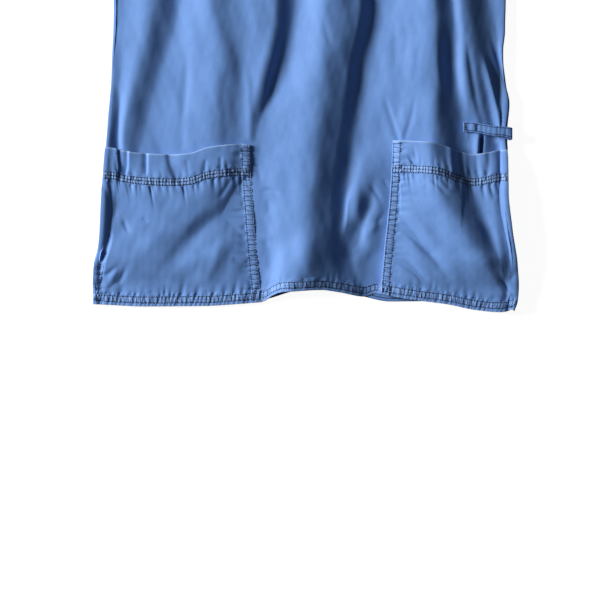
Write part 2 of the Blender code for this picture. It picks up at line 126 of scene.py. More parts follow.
BACK_HEM = rows_of(Knot, [(-264, 1.7), (-132, 0.5), (-57, 5.5), (-10, 17), (35, 17.5), (57, 13.5),
    (68, 9.5), (99, 3.5), (160, 4), (204, -2), (231, -5.5), (258, -3)])
MOUTH = rows_of(Knot, [(-252, 190.5), (-246, 190.5), (-209, 184.5), (-169, 182.3), (-146, 183.5),
    (-120, 191.5), (-82, 195), (-68, 194), (-45, 190), (80, 191), (100, 199), (134, 197.5), (156, 194.7),
    (179, 186.3), (201, 182.3), (215, 184), (232, 187), (250, 187.5)])

# Folds of the front, from the wearer's right to the left, at these heights above the hem. Beside the
# edges "across" is the distance from the edge.
FOLD_UP = (0, 60, 130, 205, 285, 365, 545, 700)
RIGHT_RIM = rows_of(Fold, [
    ("right rim", (0.8, 0.8, 0.8, 0.8, 0.8, 0.8, 10, 8), (3, 8, 12.5, 8, 5.5, 3.5, 3, 2)),
    ("right hollow", (8, 14, 20, 13, 10, 12, 18, 13), (2.4, 2.6, 2.6, 4, 4.6, 4.2, 2.2, 2.0)),
])
FOLDS = rows_of(Fold, [
    ("crest A", (-248, -240, -226, -225, -208, -191, -180, -192), (3, 3, 3, 8.5, 9.5, 10, 5, 2.2)),
    ("trough A", (-230, -226, -214, -198, -178, -159, -152, -178), (2.2, 2.2, 2.2, 2.4, 2.4, 2.4, 2.2, 2)),
    ("crest B", (-200, -170, -112, -110, -104, -115, -118, -158), (3.5, 4, 5, 12.5, 15.5, 15.5, 6, 2.2)),
    ("trough B", (-150, -120, -86, -80, -81, -92, -90, -140), (3, 3, 4, 8, 10.5, 11.5, 3, 2)),
    ("crest C", (-58, -63, -68, -72, -57, -41, -58, -124), (3, 5, 5.5, 8, 12.5, 14.5, 6, 2.2)),
    ("trough C", (-48, -50, -57, -61, -35, -16, -30, -109), (5, 5.5, 6, 7, 4.5, 5, 3, 2)),
    ("crest D", (-22, -4, 2, 6, 16, 25, 0, 0), (17, 20, 20, 20, 20, 20, 6, 2.4)),
    ("flank D", (32, 26, 24, 35, 46, 60, 34, 106), (12.5, 12.5, 12, 12, 13, 13.5, 4.2, 2.2)),
    ("trough D", (76, 49, 46, 56, 67, 80, 56, 109), (2.5, 2.5, 2.5, 2.2, 2.2, 2.2, 2.2, 2)),
    ("shoulder E", (82, 78, 60, 76, 84, 97, 78, 120), (5, 6, 8, 5, 5, 5, 3.5, 2.2)),
    ("seam E", (88, 92, 99, 103, 106, 116, 94, 128), (6, 6, 6, 9.5, 10.5, 10.5, 4.5, 2.3)),
    ("crest E", (236, 204, 161, 155, 154, 151, 116, 140), (8.5, 15.5, 18, 20, 21.5, 22, 7, 2.3)),
    ("trough E", (243, 229, 200, 190, 178, 174, 140, 155), (7, 10, 9, 9, 11, 13.5, 3, 2)),
    ("crest F", (244.5, 238, 216, 207, 194, 185, 156, 166), (7.5, 11.5, 11, 11, 17, 18, 6, 2.2)),
    ("trough F", (246, 243.5, 231, 234, 232, 221, 172, 178), (8.5, 13.5, 13, 5.5, 6, 5, 2.2, 2)),
])
LEFT_RIM = rows_of(Fold, [
    ("left rim", (1.2, 1.2, 1.2, 1.2, 1.2, 1.2, 10, 8), (11, 18, 19, 9.5, 9, 7.5, 3, 2.2)),
])
CENTRE_FOLD = 6             # crest D runs into the point of the V
SPLIT_STEP = 0.001          # keeps its two lines apart where they run as one
LINE_NAMES = ["right edge"] + [fold.name for fold in RIGHT_RIM + FOLDS + LEFT_RIM] + ["left edge"]
LINE_NAMES.insert(LINE_NAMES.index(FOLDS[CENTRE_FOLD].name) + 1, "centre split")

# The front's lines between which each pocket lies, and the creases that the part itself gives it
POCKET_LINES = {"right": ("right rim", "crest C"), "left": ("seam E", "left rim")}
POCKET_CREASES = {
    "right": [Crease((-76, -118, -176), (150, 100, 50), 16, 1.5)],
    "left": [Crease((157, 164, 191, 212, 224), (160, 130, 79, 42, 26), 20, -5.5),
             Crease((112, 160), (96, 48), 11, 1.6)],
}

# Small wrinkles. depth is positive for a trough and negative for a ridge; before and after are how far
# it reaches to the left and to the right of its path, seen along the path; start and end are its
# strength at the two ends.
Wrinkle = namedtuple("Wrinkle", "across up before after depth start end")
FRONT_WRINKLES = rows_of(Wrinkle, [
    ((-147, -148, -152, -154), (330, 286, 237, 193), 5, 5, 1.0, 0, 0.6),
    ((-100, -103, -101), (300, 250, 200), 6, 6, 0.9, 0, 0.5),
    ((-75, -72, -71), (300, 250, 203), 4, 4, -0.8, 0, 1),
    # drag lines above the left pocket's inner corner
    ((110, 101, 91), (200, 227, 259), 4, 2.5, 1.3, 1, 0),
    ((114, 117), (203, 249), 5, 5, -0.9, 0.6, 0),
    ((117, 125, 129), (203, 227, 255), 2.5, 4, 0.9, 1, 0),
    # faint streaks between folds D and E
    ((106, 104), (340, 275), 4, 4, 0.5, 0, 0),
    ((120, 117), (350, 285), 5, 4, 0.5, 0, 0),
    ((134, 129), (325, 260), 4, 5, 0.6, 0, 0),
    ((18, 22, 30), (353, 328, 304), 4, 4, 0.8, 0, 0),
    # broad slopes between the pockets
    ((-30, -34, -38, -44), (5, 60, 130, 196), 15, 14, -2.0, 0.5, 0.3),
    ((-38, -30, -20), (4, 35, 80), 12, 20, -3.4, 0.8, 0),
    ((-12, -6, 2), (4, 40, 100), 16, 22, -4.0, 0.8, 0),
    ((90, 93, 98, 104), (8, 60, 100, 150), 18, 5, 2.8, 0.8, 0.3),
    ((150, 150, 153), (196, 225, 275), 12, 8, -2.0, 1, 0),
    ((194, 189, 184), (215, 275, 335), 14, 6, -2.8, 0.3, 0),
    ((176, 170, 166), (235, 285, 350), 8, 14, 3.0, 0, 0),
    ((236, 234, 236), (190, 225, 270), 5, 6, -2.4, 1, 0),
    ((-70, -58, -50, -36), (205, 245, 285, 350), 10, 6, -2.5, 0, 0),
    # beside the right pocket's inner edge
    ((-57, -47, -38, -36), (138, 140, 136, 129), 1.6, 3, 1.1, 0.3, 0),
    ((-49, -47), (130, 106), 4, 4, 0.8, 0, 0),
    ((-57, -51, -46), (77, 75, 71), 2, 2.5, 0.9, 0.3, 0),
    ((-61, -50, -41), (84, 82, 78), 3, 3, -0.5, 0, 0),
    ((-62, -57), (168, 147), 3, 3, 0.8, 0.5, 0),
    ((-60, -50, -44), (100, 97, 92), 2.5, 3, 0.5, 0.5, 0),
    ((-56, -42, -30), (40, 33, 22), 4, 5, -0.6, 0.2, 0),
    # forked crease beside the left pocket's inner edge
    ((57, 49, 40), (152, 112, 74), 13, 5, -4.5, 0, 0),
    ((80, 73, 63, 52), (150, 120, 92, 62), 7, 9, 3.8, 0.3, 0.5),
    ((72.6, 82, 91), (148, 136, 121), 3, 2.5, 1.3, 0, 0),
    ((90, 97), (154, 143), 2, 2, 1.0, 0, 0.6),
    ((82, 93), (96, 112), 3.5, 3.5, 0.9, 0, 0.4),
    ((53, 48, 46), (140, 118, 104), 3, 4, -0.9, 0, 0),
    ((82, 78, 79), (76, 44, 8), 12, 11, 4.4, 0.1, 0.8),
    ((66, 64, 66), (112, 82, 52), 12, 12, 1.6, 0, 0.3),
    ((53, 62), (62, 71), 2.5, 2.5, -0.8, 0, 0),
    ((45, 53, 58), (81, 54, 36), 4, 4, 0.9, 0, 0),
    ((70, 78, 86), (86, 92, 103), 4, 4, -0.7, 0, 0),
    # the split fold under the wearer's left arm, and the slit below the loop
    ((209, 216.5, 227.5, 232.4), (314, 280, 237, 200), 4.5, 5, -4.6, 0, 0.6),
    ((190, 197, 204, 213), (325, 280, 246, 215), 4, 4, 1.6, 0.2, 0.4),
    ((221, 231, 240, 240), (330, 296, 264, 240), 4, 3, 2.0, 0.2, 0),
    ((211.4, 210.6, 209.2), (209, 196, 178), 1.2, 1.5, 11.0, 0.1, 1),
    ((206.5, 205.5), (208, 178), 2.0, 4.5, -2.6, 0.5, 1),
    # chest and shoulders
    ((-196, -150, -120), (452, 470, 500), 7, 9, 1.6, 1, 0),
    ((196, 152, 126), (452, 476, 512), 7, 9, 1.6, 1, 0),
    ((-198, -168, -150), (480, 505, 545), 5, 6, 1.1, 1, 0),
    ((198, 170, 158), (484, 512, 560), 5, 6, 1.0, 1, 0),
    ((-200, -160, -128), (445, 430, 395), 6, 9, 1.5, 0.8, 0),
    ((204, 170, 146), (444, 424, 388), 6, 8, 1.4, 0.8, 0),
    ((-90, -60, -34), (655, 600, 556), 6, 7, 0.7, 0, 0.4),
    ((88, 62, 30), (640, 596, 552), 6, 7, 0.7, 0, 0.4),
])
POCKET_WRINKLES = {
    "right": rows_of(Wrinkle, [
        # in the turned band at the mouth
        ((-221, -221.5), (186, 163), 1.2, 10, 4.6, 1, 0.7),
        ((-196.5, -196.5), (186, 161), 1.2, 5.5, 2.6, 1, 0.7),
        ((-169, -166, -159), (184, 169, 153), 11, 4.5, 2.4, 1, 0.7),
        ((-125, -125), (178, 164), 2, 2, 0.9, 0, 1),
        ((-107, -106), (182, 166), 2, 2.5, 1.0, 0, 1),
        ((-148, -146), (178, 162), 3, 3, 0.6, 0, 1),
        ((-236, -235), (184, 164), 3, 3, 0.7, 0.5, 1),
        ((-84, -83), (156, 194), 28, 20, -2.4, 0.6, 1),
        # down the outer side
        ((-233, -235, -240, -247), (144, 120, 92, 60), 34, 12, 5.0, 0.5, 0.3),
        # the long diagonal and what crosses it
        ((-78, -91, -104, -121, -147, -166, -178), (137, 121, 108, 98, 72, 52, 34), 24, 13, 4.2, 1, 0.2),
        ((-76, -86, -98), (152, 132, 120), 2.2, 2, 1.4, 1, 0),
        ((-96, -104, -112), (150, 136, 127), 3, 3, 1.0, 1, 0),
        ((-227, -222, -217), (106, 94, 84), 3.4, 2.4, 1.0, 0.2, 0),
        ((-203, -194), (106, 99), 4, 3, 0.6, 0, 0),
        # lumps in the lower corner at the vent
        ((-250, -243, -233), (31, 38, 46), 2.6, 3, 1.1, 0.5, 0.2),
        ((-245, -238, -230), (22, 33, 46), 3.6, 3.6, -1.2, 0.5, 0),
        ((-239, -231, -225, -221), (17, 27, 37, 48), 3, 3.4, 1.1, 0.6, 0.2),
        ((-254, -246, -236, -222), (25, 19, 15.5, 14.5), 2, 1.8, 1.5, 0.5, 0.2),
        # lower inner corner
        ((-100.6, -109, -120), (88, 64, 33), 7, 8, -1.0, 0, 0.3),
        ((-88, -98, -105), (72, 48, 24), 8, 8, 0.3, 0, 0.4),
        ((-94, -80), (57, 49), 3, 4, 0.6, 0, 0.6),
        ((-140, -128, -118), (60, 66, 76), 6, 6, 0.7, 0, 0),
        ((-206, -186, -160), (34, 30, 26), 5, 5, 0.8, 0, 0),
    ]),
    "left": rows_of(Wrinkle, [
        ((119, 126, 133.6), (183, 174, 166), 3, 2, 1.7, 0, 1),
        ((128.5, 132), (190, 168), 1.6, 2.5, 1.0, 0.4, 1),
        ((181, 183), (188, 160), 5, 5, 1.2, 1, 1),
        ((170, 172), (192, 160), 4, 4, -1.0, 1, 1),
        ((204, 205), (184, 160), 3, 3, 0.8, 0.6, 1),
        ((218, 218), (186, 160), 3, 3, 0.9, 0.7, 1),
        ((190, 191), (184, 160), 4, 4, -0.8, 0.6, 1),
        ((232, 232), (186, 162), 3, 3, 0.6, 0.6, 1),
        # the long diagonal from fold E
        ((234, 220, 205, 195), (50, 79, 121, 154), 9, 12, 2.6, 0, 0.8),
        ((112, 112), (158, 200), 8, 36, -4.6, 0.7, 1),
        ((166, 154, 147, 147), (108, 135, 158, 200), 14, 11, -3.0, 0.2, 1),
        ((186, 187), (158, 190), 8, 40, 2.8, 0.7, 1),
        ((214, 228, 240), (78, 42, 12), 12, 26, -2.4, 0, 0.7),
        ((245, 245, 241, 240), (14, 60, 120, 188), 10, 6, -3.6, 0.4, 0.8),
        ((103, 115, 131, 150, 168), (106, 98, 80, 60, 36), 7, 5, 3.0, 0.5, 0.2),
        ((103, 118, 132, 148), (56, 49, 38, 19), 6, 4, 2.6, 0.4, 0.3),
        ((102, 114), (31, 24), 2.5, 2.5, 0.9, 0.5, 0),
        ((104, 122, 142, 160), (122, 112, 90, 66), 6, 6, -1.0, 0.2, 0),
        ((147, 158, 169), (154, 142, 128.6), 3.5, 2.5, 1.1, 1, 0),
        ((133, 141), (156, 144), 3, 2, 0.8, 1, 0),
        ((160, 171), (152, 138), 3, 2.5, 0.9, 1, 0),
        ((197, 202), (148, 133), 3, 3, 0.7, 1, 0),
        ((220, 228), (142, 126), 3, 3, 0.8, 0.5, 0),
        ((214, 226, 236), (120, 88, 58), 5, 5, -0.8, 0, 0),
        ((230, 243, 253), (34, 20, 10), 3, 2.5, 1.3, 0, 0.2),
        ((254, 249, 243), (46, 34, 27), 3, 3, 0.9, 0.4, 0),
    ]),
}
BACK_WRINKLES = rows_of(Wrinkle, [
    ((-190, -180, -200), (420, 250, 60), 9, 12, 1.0, 0, 0),
    ((-120, -95, -110), (520, 330, 90), 10, 8, 0.9, 0, 0),
    ((-30, -45, -20), (480, 260, 40), 8, 11, 1.0, 0, 0.3),
    ((60, 40, 64), (560, 360, 120), 9, 9, 0.9, 0, 0),
    ((130, 150, 138), (500, 300, 60), 10, 12, 1.0, 0, 0),
    ((205, 196, 214), (410, 240, 70), 8, 9, 0.9, 0, 0),
    ((-195, -130, -60), (450, 480, 500), 7, 7, 0.9, 0.6, 0),
    ((195, 140, 76), (452, 486, 520), 7, 7, 0.8, 0.6, 0),
])
SLEEVE_WRINKLES = rows_of(Wrinkle, [
    ((214, 262, 300), (440, 452, 470), 7, 9, 1.4, 1, 0),
    ((210, 252, 296), (456, 486, 520), 7, 8, 1.3, 1, 0),
    ((206, 240, 262), (480, 520, 566), 6, 7, 1.0, 1, 0),
    ((236, 300, 352), (432, 430, 436), 5, 7, 1.1, 0.5, 0),
    ((270, 330, 380), (610, 590, 560), 9, 9, 0.8, 0, 0),
    ((300, 340, 396), (500, 490, 486), 8, 8, 0.8, 0, 0),
])

# How the cloth settles, which only the scene shows
SEAM_TUCK = 0.5             # a seamed edge goes this far under its neighbour
FRONT_LEAST = 2.1           # the front's outer face stays above the back by settling on it softly
SOFTNESS = 1.0
EDGE_PRESSED = 1.0          # a pocket's inner edge is sewn down on the front
EDGE_PRESSED_OVER = 30.0
EDGE_WEAR_AND_HIGHLIGHT = {"right": 1.0, "left": 0.15}    # how pale that edge is painted: painted highlight along the edge, partly rubbed wear
SLEEVE_ROUNDING = 0.06      # part of a sleeve's height over which its folded edges round off
PATH_STEPS = 8              # to each stretch of a wrinkle's path
FADES_OVER = 0.4            # part of its length over which a wrinkle fades, at either end
RIPPLE_WAVES = 14

# Seams that draw the cloth in: spacing of the puckers along the seam, how far they reach from it,
# how deep they are and how far they lean
Pucker = namedtuple("Pucker", "spacing reach depth lean")
HEM_ROPING = Pucker(4.6, 0, 0.75, 0.30)
ABOVE_HEM = Pucker(9.5, 9, 1.2, 0.10)
ROW_LADDER = Pucker(3.9, 0, 0.60, 0.0)
BELOW_ROWS = Pucker(7.0, 13, 1.9, 0.15)
ABOVE_ROWS = Pucker(8.0, 9, 1.6, -0.10)
EDGE_LADDER = Pucker(5.8, 0, 0.85, 0.12)
BESIDE_EDGE = Pucker(9.0, 8, 1.3, 0.10)
LOOP_PUCKER = Pucker(5.0, 0, 0.5, 0.05)
SEAM_SPAN = (-280, 720)     # puckers are laid out over this, so that each seam has its own everywhere
SEAM_RELEASE = 2.5          # distance from a row of stitches over which its puckers begin
ROWS_STIFFEN = 0.7          # part of the puckers that the rows of stitches hold flat
HEM_PUCKERS_END = 40        # the hem draws in no row above this

STITCH = 2.6                # length of one stitch
STITCH_GAP = 0.7
THREAD = 0.54               # radius of the topstitching thread
SHADE_BAR_AND_BARTACK_RADIUS = 0.38                 # radius of the bars between two rows: dark thread bars standing in for pucker shade, and the loop's bartacks
# Spacing of dark thread bars that stand in for the shade between puckers
SHADE_BAR_SPACING = {"hem": 4.4, "rows": 3.7, "edge": 5.6}
HEM_STITCH_ROWS = (4.2, 11.6)
HEM_BETWEEN_POCKETS = (-56, 86)
BACK_HEM_STITCHES = (-255, 247)
POCKET_STITCH_ROWS = (152.2, 156.2, 160.2)
EDGE_STITCHES = (1.6, 9.6)  # from a pocket's inner edge
VENT_STITCH = 4.3           # from the side edge, beside the vent
VENT_TOP = 54.0
LOOP_STITCH = 1.7           # from the strip's two edges
BARTACKS = (190.2, 202.4)   # bars of close stitches across the strip
BAND_STITCH = 2.0           # from the neck bands' edges
SHOULDER_STITCH = 3.5
ARMHOLE_STITCHES = (2.5, 8.5)
SLEEVE_STITCHES = (18.0, 23.5)      # from the cuff
THREAD_SIDES = 5
Section = namedtuple("Section", "along size rise")
THREAD_SECTIONS = rows_of(Section, [(-0.5, 0.35, -0.35), (-0.32, 1.0, 0.25), (0.0, 1.0, 0.4),
                                    (0.32, 1.0, 0.25), (0.5, 0.35, -0.35)])

# About how long these are, to space stitches along them
POCKET_WIDTH = {"right": 185, "left": 148}
SLEEVE_HEIGHT = 220
BAND_LENGTH = 180
LOOP_LENGTH = 130
V_SLANT = 1.17              # length of the V's side to its height

SETTLING_ROUNDS = 3         # across and height of a point depend on each other, and settle in these

# Points of the grids
BACK_COLUMNS = 151
SLEEVE_COLUMNS = 192
BAND_COLUMNS = 9
BAND_STEPS = 70
BACK_BAND_STEPS = 120
LOOP_ROWS = 15
LOOP_COLUMNS = 132

# Floor, light and camera
PIXEL = 0.00122             # metres of the floor to one pixel of the picture
IMAGE_WIDTH = 600
CAMERA_HEIGHT = 2.6
CAMERA_AIM = (-0.01037, -0.33988)
SENSOR = 36.0
KEY_DISTANCE = 5.0
KEY_AZIMUTH = math.radians(166)     # from the picture's upper left
KEY_ELEVATION = math.radians(23.5)

# Colours
CLOTH_LIGHT = (0.141, 0.284, 0.624, 1.0)
CLOTH_DARK = (0.120, 0.253, 0.584, 1.0)
# Pale tone laid on edges and between stitch rows: painted highlight, partly real rubbed wear
CLOTH_WEAR_AND_HIGHLIGHT = (0.34, 0.52, 0.86, 1.0)
CLOTH_SHEEN = (0.55, 0.72, 1.0, 1.0)
THREAD_DARK = (0.010, 0.022, 0.070, 1.0)
THREAD_LIGHT = (0.022, 0.045, 0.120, 1.0)


# Curves, folds and surfaces, all worked out on arrays of points

def eased(start, length, at):
    """Smooth step from 0 to 1 that begins at start and takes length."""
    fraction = np.clip((at - start) / length, 0.0, 1.0)
    return 0.5 - 0.5 * np.cos(np.pi * fraction)


def spline(knots_at, knots_value, at):
    """Smooth, never overshooting curve. Knots are rows, points are columns."""
    spans = np.maximum(np.diff(knots_at, axis=0), 1e-9)
    runs = np.diff(knots_value, axis=0) / spans
    product = runs[1:] * runs[:-1]
    total = np.where(product > 0, runs[1:] + runs[:-1], 1.0)
    inner = np.where(product > 0, 2 * product / total, 0.0)
    flat = np.zeros((1,) + inner.shape[1:])
    slopes = np.concatenate([flat, inner, flat])
    index = np.clip((at >= knots_at).sum(axis=0) - 1, 0, len(spans) - 1)

    def pick(table, offset=0):
        if table.shape[1] == 1:
            return table[index + offset, 0]
        return np.take_along_axis(table, (index + offset)[None], axis=0)[0]

    span = pick(spans)
    t = np.clip((at - pick(knots_at)) / span, 0.0, 1.0)
    start = (1 + 2 * t) * (1 - t) ** 2 * pick(knots_value) + t * (1 - t) ** 2 * span * pick(slopes)
    end = t ** 2 * (3 - 2 * t) * pick(knots_value, 1) - t ** 2 * (1 - t) * span * pick(slopes, 1)
    return start + end


def through(knots, at):
    table = np.array(knots, float)
    return spline(table[:, :1], table[:, 1:], np.atleast_1d(np.asarray(at, float)))


def side_edge(side, up):
    """The garment's edge. side is -1 for the wearer's right and 1 for the left."""
    edge = RIGHT_EDGE if side < 0 else LEFT_EDGE
    return np.where(up > UNDERARM_UP, side * through(ARMHOLE, up), through(edge, up))


def neck_edge(up):
    return np.maximum(0.0, NECK_ACROSS * (up - V_POINT_UP) / (LENGTH - V_POINT_UP))


def fold_run(values, up):
    return through(list(zip(FOLD_UP, values)), up)


def fold_lines(up):
    """Across and height of every line of the front, one row for each line."""
    inset = SIDE_INSET * eased(0, TILT_END - TILT_START, TILT_END - up)
    right, left = side_edge(-1, up) + inset, side_edge(1, up) - inset
    seam = np.full_like(up, SEAM_HEIGHT)
    lines = [(right, seam)]
    lines += [(right + fold_run(fold.across, up), fold_run(fold.height, up)) for fold in RIGHT_RIM]
    for index, fold in enumerate(FOLDS):
        at, height = fold_run(fold.across, up), fold_run(fold.height, up)
        if index == CENTRE_FOLD:
            lines.append((at - neck_edge(up), height))
            at = at + neck_edge(up) + SPLIT_STEP
        lines.append((at, height))
    lines += [(left - fold_run(fold.across, up), fold_run(fold.height, up)) for fold in LEFT_RIM]
    lines.append((left, seam))
    return tuple(np.array(table) for table in zip(*lines))


def relief(across, up):
    """Height of the front's inner face over the ground."""
    at, height = fold_lines(up)
    inside = spline(at, height, across)
    rim_at, rim_height, edge_at = at[-2], height[-2], at[-1]
    fraction = np.clip((across - rim_at) / np.maximum(edge_at - rim_at, 1e-6), 0.0, 1.0)
    rim = SEAM_HEIGHT + (rim_height - SEAM_HEIGHT) * np.cos(0.5 * np.pi * fraction)
    return np.where(across > rim_at, rim, inside)


def place(across, up, height):
    return np.stack([across, up, height], axis=-1)


def unit(vectors):
    return vectors / np.maximum(np.linalg.norm(vectors, axis=-1, keepdims=True), 1e-9)


def facing(across, up):
    """Unit vectors out of the front's surface, straight up beside the sleeves."""
    reach = CLOTH
    here = relief(across, up)
    rise_before = np.arctan((here - relief(across - reach, up)) / reach)
    rise_after = np.arctan((relief(across + reach, up) - here) / reach)
    slope_across = np.tan(0.5 * (rise_before + rise_after))
    slope_up = (relief(across, up + reach) - relief(across, up - reach)) / (2 * reach)
    tilt = eased(0, TILT_END - TILT_START, TILT_END - up)
    return unit(place(-slope_across * tilt, -slope_up * tilt, np.ones_like(up)))


def shoulder_up(across):
    fraction = (np.abs(across) - NECK_ACROSS) / (SHOULDER_TIP_ACROSS - NECK_ACROSS)
    return LENGTH - (LENGTH - SHOULDER_TIP_UP) * np.clip(fraction, 0.0, 1.0)


def back_top(across):
    scoop = LENGTH - BACK_NECK_DROP * np.cos(0.5 * np.pi * np.clip(across / NECK_ACROSS, -1, 1))
    return np.where(np.abs(across) >= NECK_ACROSS, shoulder_up(across), scoop)


def up_at(row, across, hem, top):
    """Height of a row: it follows the wavy hem below and the shoulders above."""
    low = row + through(hem, across) * (1 - row / HEM_SWAY_END)
    above = (row - SHOULDER_SLOPE_START) / (LENGTH - SHOULDER_SLOPE_START)
    high = row - (LENGTH - top(across)) * np.maximum(above, 0.0)
    return np.where(row < HEM_SWAY_END, low, high)


def pocket_up(row, across):
    """Height of a pocket's row: its band follows the mouth, its foot the hem."""
    foot = through(FRONT_HEM, across)
    mouth = through(MOUTH, across)
    share = (row - HEM_DEPTH) / (BAND_ROW - HEM_DEPTH)
    body = foot + HEM_DEPTH + (mouth - (POCKET_TOP_ROW - BAND_ROW) - foot - HEM_DEPTH) * share
    lower = np.where(row < HEM_DEPTH, foot + row, body)
    return np.where(row > BAND_ROW, mouth - (POCKET_TOP_ROW - row), lower)


# Small relief: wrinkles, puckers and ripples, as distances out of the cloth

def nearest_on_line(px, py, across, up):
    """Distance from a line of points, its sign to the line's left, and the share of the way along it."""
    runs = np.hypot(np.diff(px), np.diff(py))
    along = np.concatenate([[0], np.cumsum(runs)])
    best = np.full(across.shape, 1e9)
    side, share = np.zeros((2,) + across.shape)
    for index, run in enumerate(runs):
        dx, dy = px[index + 1] - px[index], py[index + 1] - py[index]
        t = np.clip(((across - px[index]) * dx + (up - py[index]) * dy) / (run * run), 0.0, 1.0)
        ox, oy = across - px[index] - t * dx, up - py[index] - t * dy
        away = np.hypot(ox, oy)
        closer = away < best
        best = np.where(closer, away, best)
        side = np.where(closer, dx * oy - dy * ox, side)
        share = np.where(closer, (along[index] + t * run) / along[-1], share)
    return best, side, share


def rounded(values):
    """One coordinate of a path, in finer steps and with round corners."""
    last = len(values) - 1
    at = np.linspace(0, last, PATH_STEPS * last + 1)
    if last == 1:
        return np.interp(at, (0, 1), values)
    padded = np.array([2 * values[0] - values[1], *values, 2 * values[-1] - values[-2]], float)
    index = np.clip(at.astype(int), 0, last - 1)
    t = at - index
    a, b, c, d = (padded[index + offset] for offset in range(4))
    square, cube = 2 * a - 5 * b + 4 * c - d, 3 * b - a - 3 * c + d
    return 0.5 * (2 * b + (c - a) * t + square * t ** 2 + cube * t ** 3)


def wrinkles(table, across, up):
    """Sum of the table's troughs and ridges."""
    total = np.zeros(across.shape)
    for row in table:
        reach = 3 * max(row.before, row.after)
        near = ((across > min(row.across) - reach) & (across < max(row.across) + reach)
                & (up > min(row.up) - reach) & (up < max(row.up) + reach))
        if near.any():
            away, side, share = nearest_on_line(rounded(row.across), rounded(row.up), across[near], up[near])
            width = np.where(side > 0, row.before, row.after)
            rise = row.start + (1 - row.start) * eased(0, FADES_OVER, share)
            fall = row.end + (1 - row.end) * (1 - eased(1 - FADES_OVER, FADES_OVER, share))
            total[near] -= row.depth * np.exp(-(away / width) ** 2) * rise * fall
    return total


def dent(creases, across, up):
    """The part's own pocket creases."""
    total = np.zeros(across.shape)
    for crease in creases:
        away, _side, _share = nearest_on_line(crease.across, crease.up, across, up)
        total += crease.depth * np.exp(-(away / crease.width) ** 2)
    return total


def puckers(kind, seed, along, away):
    """Uneven short troughs that run out of a seam. away is the distance from the seam."""
    own = np.random.default_rng(seed)
    total = np.zeros(along.shape)
    if not along.size:
        return total
    place = SEAM_SPAN[0] + kind.spacing * own.uniform(0.2, 0.8)
    while place < SEAM_SPAN[1]:
        gap = kind.spacing * own.uniform(0.6, 1.5)
        width = 0.30 * gap
        reach = max(kind.reach * own.uniform(0.4, 1.7), 0.1)
        depth = kind.depth * own.uniform(0.45, 1.35)
        lean = kind.lean + own.uniform(-0.12, 0.12)
        near = np.abs(along - place - lean * away) < 3 * width
        if kind.reach:
            near &= (away > -0.5 * reach) & (away < 2.2 * reach)
        offset = (along[near] - place - lean * away[near]) / width
        fade = np.exp(-(away[near] / reach) ** 2) if kind.reach else 1.0
        total[near] -= depth * np.exp(-offset ** 2) * fade
        place += gap
    return total


def ripple(seed, across, up, size, amount, stretch=2.0):
    """Gentle unevenness, longer up the cloth than across it."""
    own = np.random.default_rng(seed)
    total = np.zeros(across.shape)
    for _ in range(RIPPLE_WAVES):
        angle = own.uniform(0, np.pi)
        number = 2 * np.pi / (size * own.uniform(0.6, 1.8))
        phase = own.uniform(0, 2 * np.pi)
        total += np.cos(number * (across * np.cos(angle) + up * np.sin(angle) / stretch) + phase)
    return amount * total * math.sqrt(2.0 / RIPPLE_WAVES)


def grooves(at, rows, width=0.9, depth=0.45):
    """The dips that rows of stitches pull into the cloth."""
    return -depth * sum(np.exp(-((at - row) / width) ** 2) for row in rows)


def band(at, low, high, soft=1.2):
    """1 between low and high, with soft ends."""
    return eased(low - soft, soft, at) * (1 - eased(high, soft, at))


def in_hem(row):
    return band(row, -5, HEM_DEPTH, 1.5)


def hem_relief(seed, along, row):
    """Turned hem with two rows of stitches: roped across, with puckers above it."""
    from_row = row - HEM_STITCH_ROWS[1]
    return (in_hem(row) * (HEM_EXTRA + puckers(HEM_ROPING, seed, along, row)) + grooves(row, HEM_STITCH_ROWS)
            + puckers(ABOVE_HEM, seed + 1, along, from_row) * eased(0, SEAM_RELEASE, from_row))


def front_surface(across, row):
    up = up_at(row, across, FRONT_HEM, shoulder_up)
    detail = wrinkles(FRONT_WRINKLES, across, up)
    detail += ripple(11, across, up, 34, 0.28) + ripple(12, across, up, 13, 0.06)
    low = row < HEM_PUCKERS_END
    detail[low] += hem_relief(21, across[low], row[low])
    points = place(across, up, relief(across, up)) + facing(across, up) * (CLOTH + detail)[..., None]
    above = points[..., 2] - FRONT_LEAST
    points[..., 2] = FRONT_LEAST + 0.5 * (above + np.sqrt(above ** 2 + SOFTNESS ** 2))
    return points


def pocket_place(side, share, row):
    """Across and up of a pocket's point."""
    first, last = (LINE_NAMES.index(name) for name in POCKET_LINES[side])
    up = row + 0.0
    for _ in range(SETTLING_ROUNDS):
        at, _height = fold_lines(up)
        across = at[first] + (at[last] - at[first]) * share
        up = pocket_up(row, across)
    return across, up, at[last] - at[first]


def pocket_lift(side, share, across, up):
    outer_share = share if side == "right" else 1 - share
    inside = eased(0, POCKET_OUTER_SHARE[side], outer_share)
    inside *= eased(0, POCKET_SEAM_SHARE[side], 1 - outer_share)
    above = eased(HEM_DEPTH, POCKET_BOTTOM_RISE, up)
    to_mouth = eased(MOUTH_CLOSING_START, POCKET_TOP_ROW - MOUTH_CLOSING_START, up)
    puff = POCKET_PUFF[side] + POCKET_BRIDGING[side] * (POCKET_LEVEL[side] - relief(across, up))
    puff *= 1.0 - to_mouth * MOUTH_CLOSING[side]
    puff -= dent(POCKET_CREASES[side], across, up)
    return np.maximum(puff, 0.0) * inside * above


def from_inner(side, share, width):
    """Distance from a pocket's inner edge."""
    return (1 - share if side == "right" else share) * width


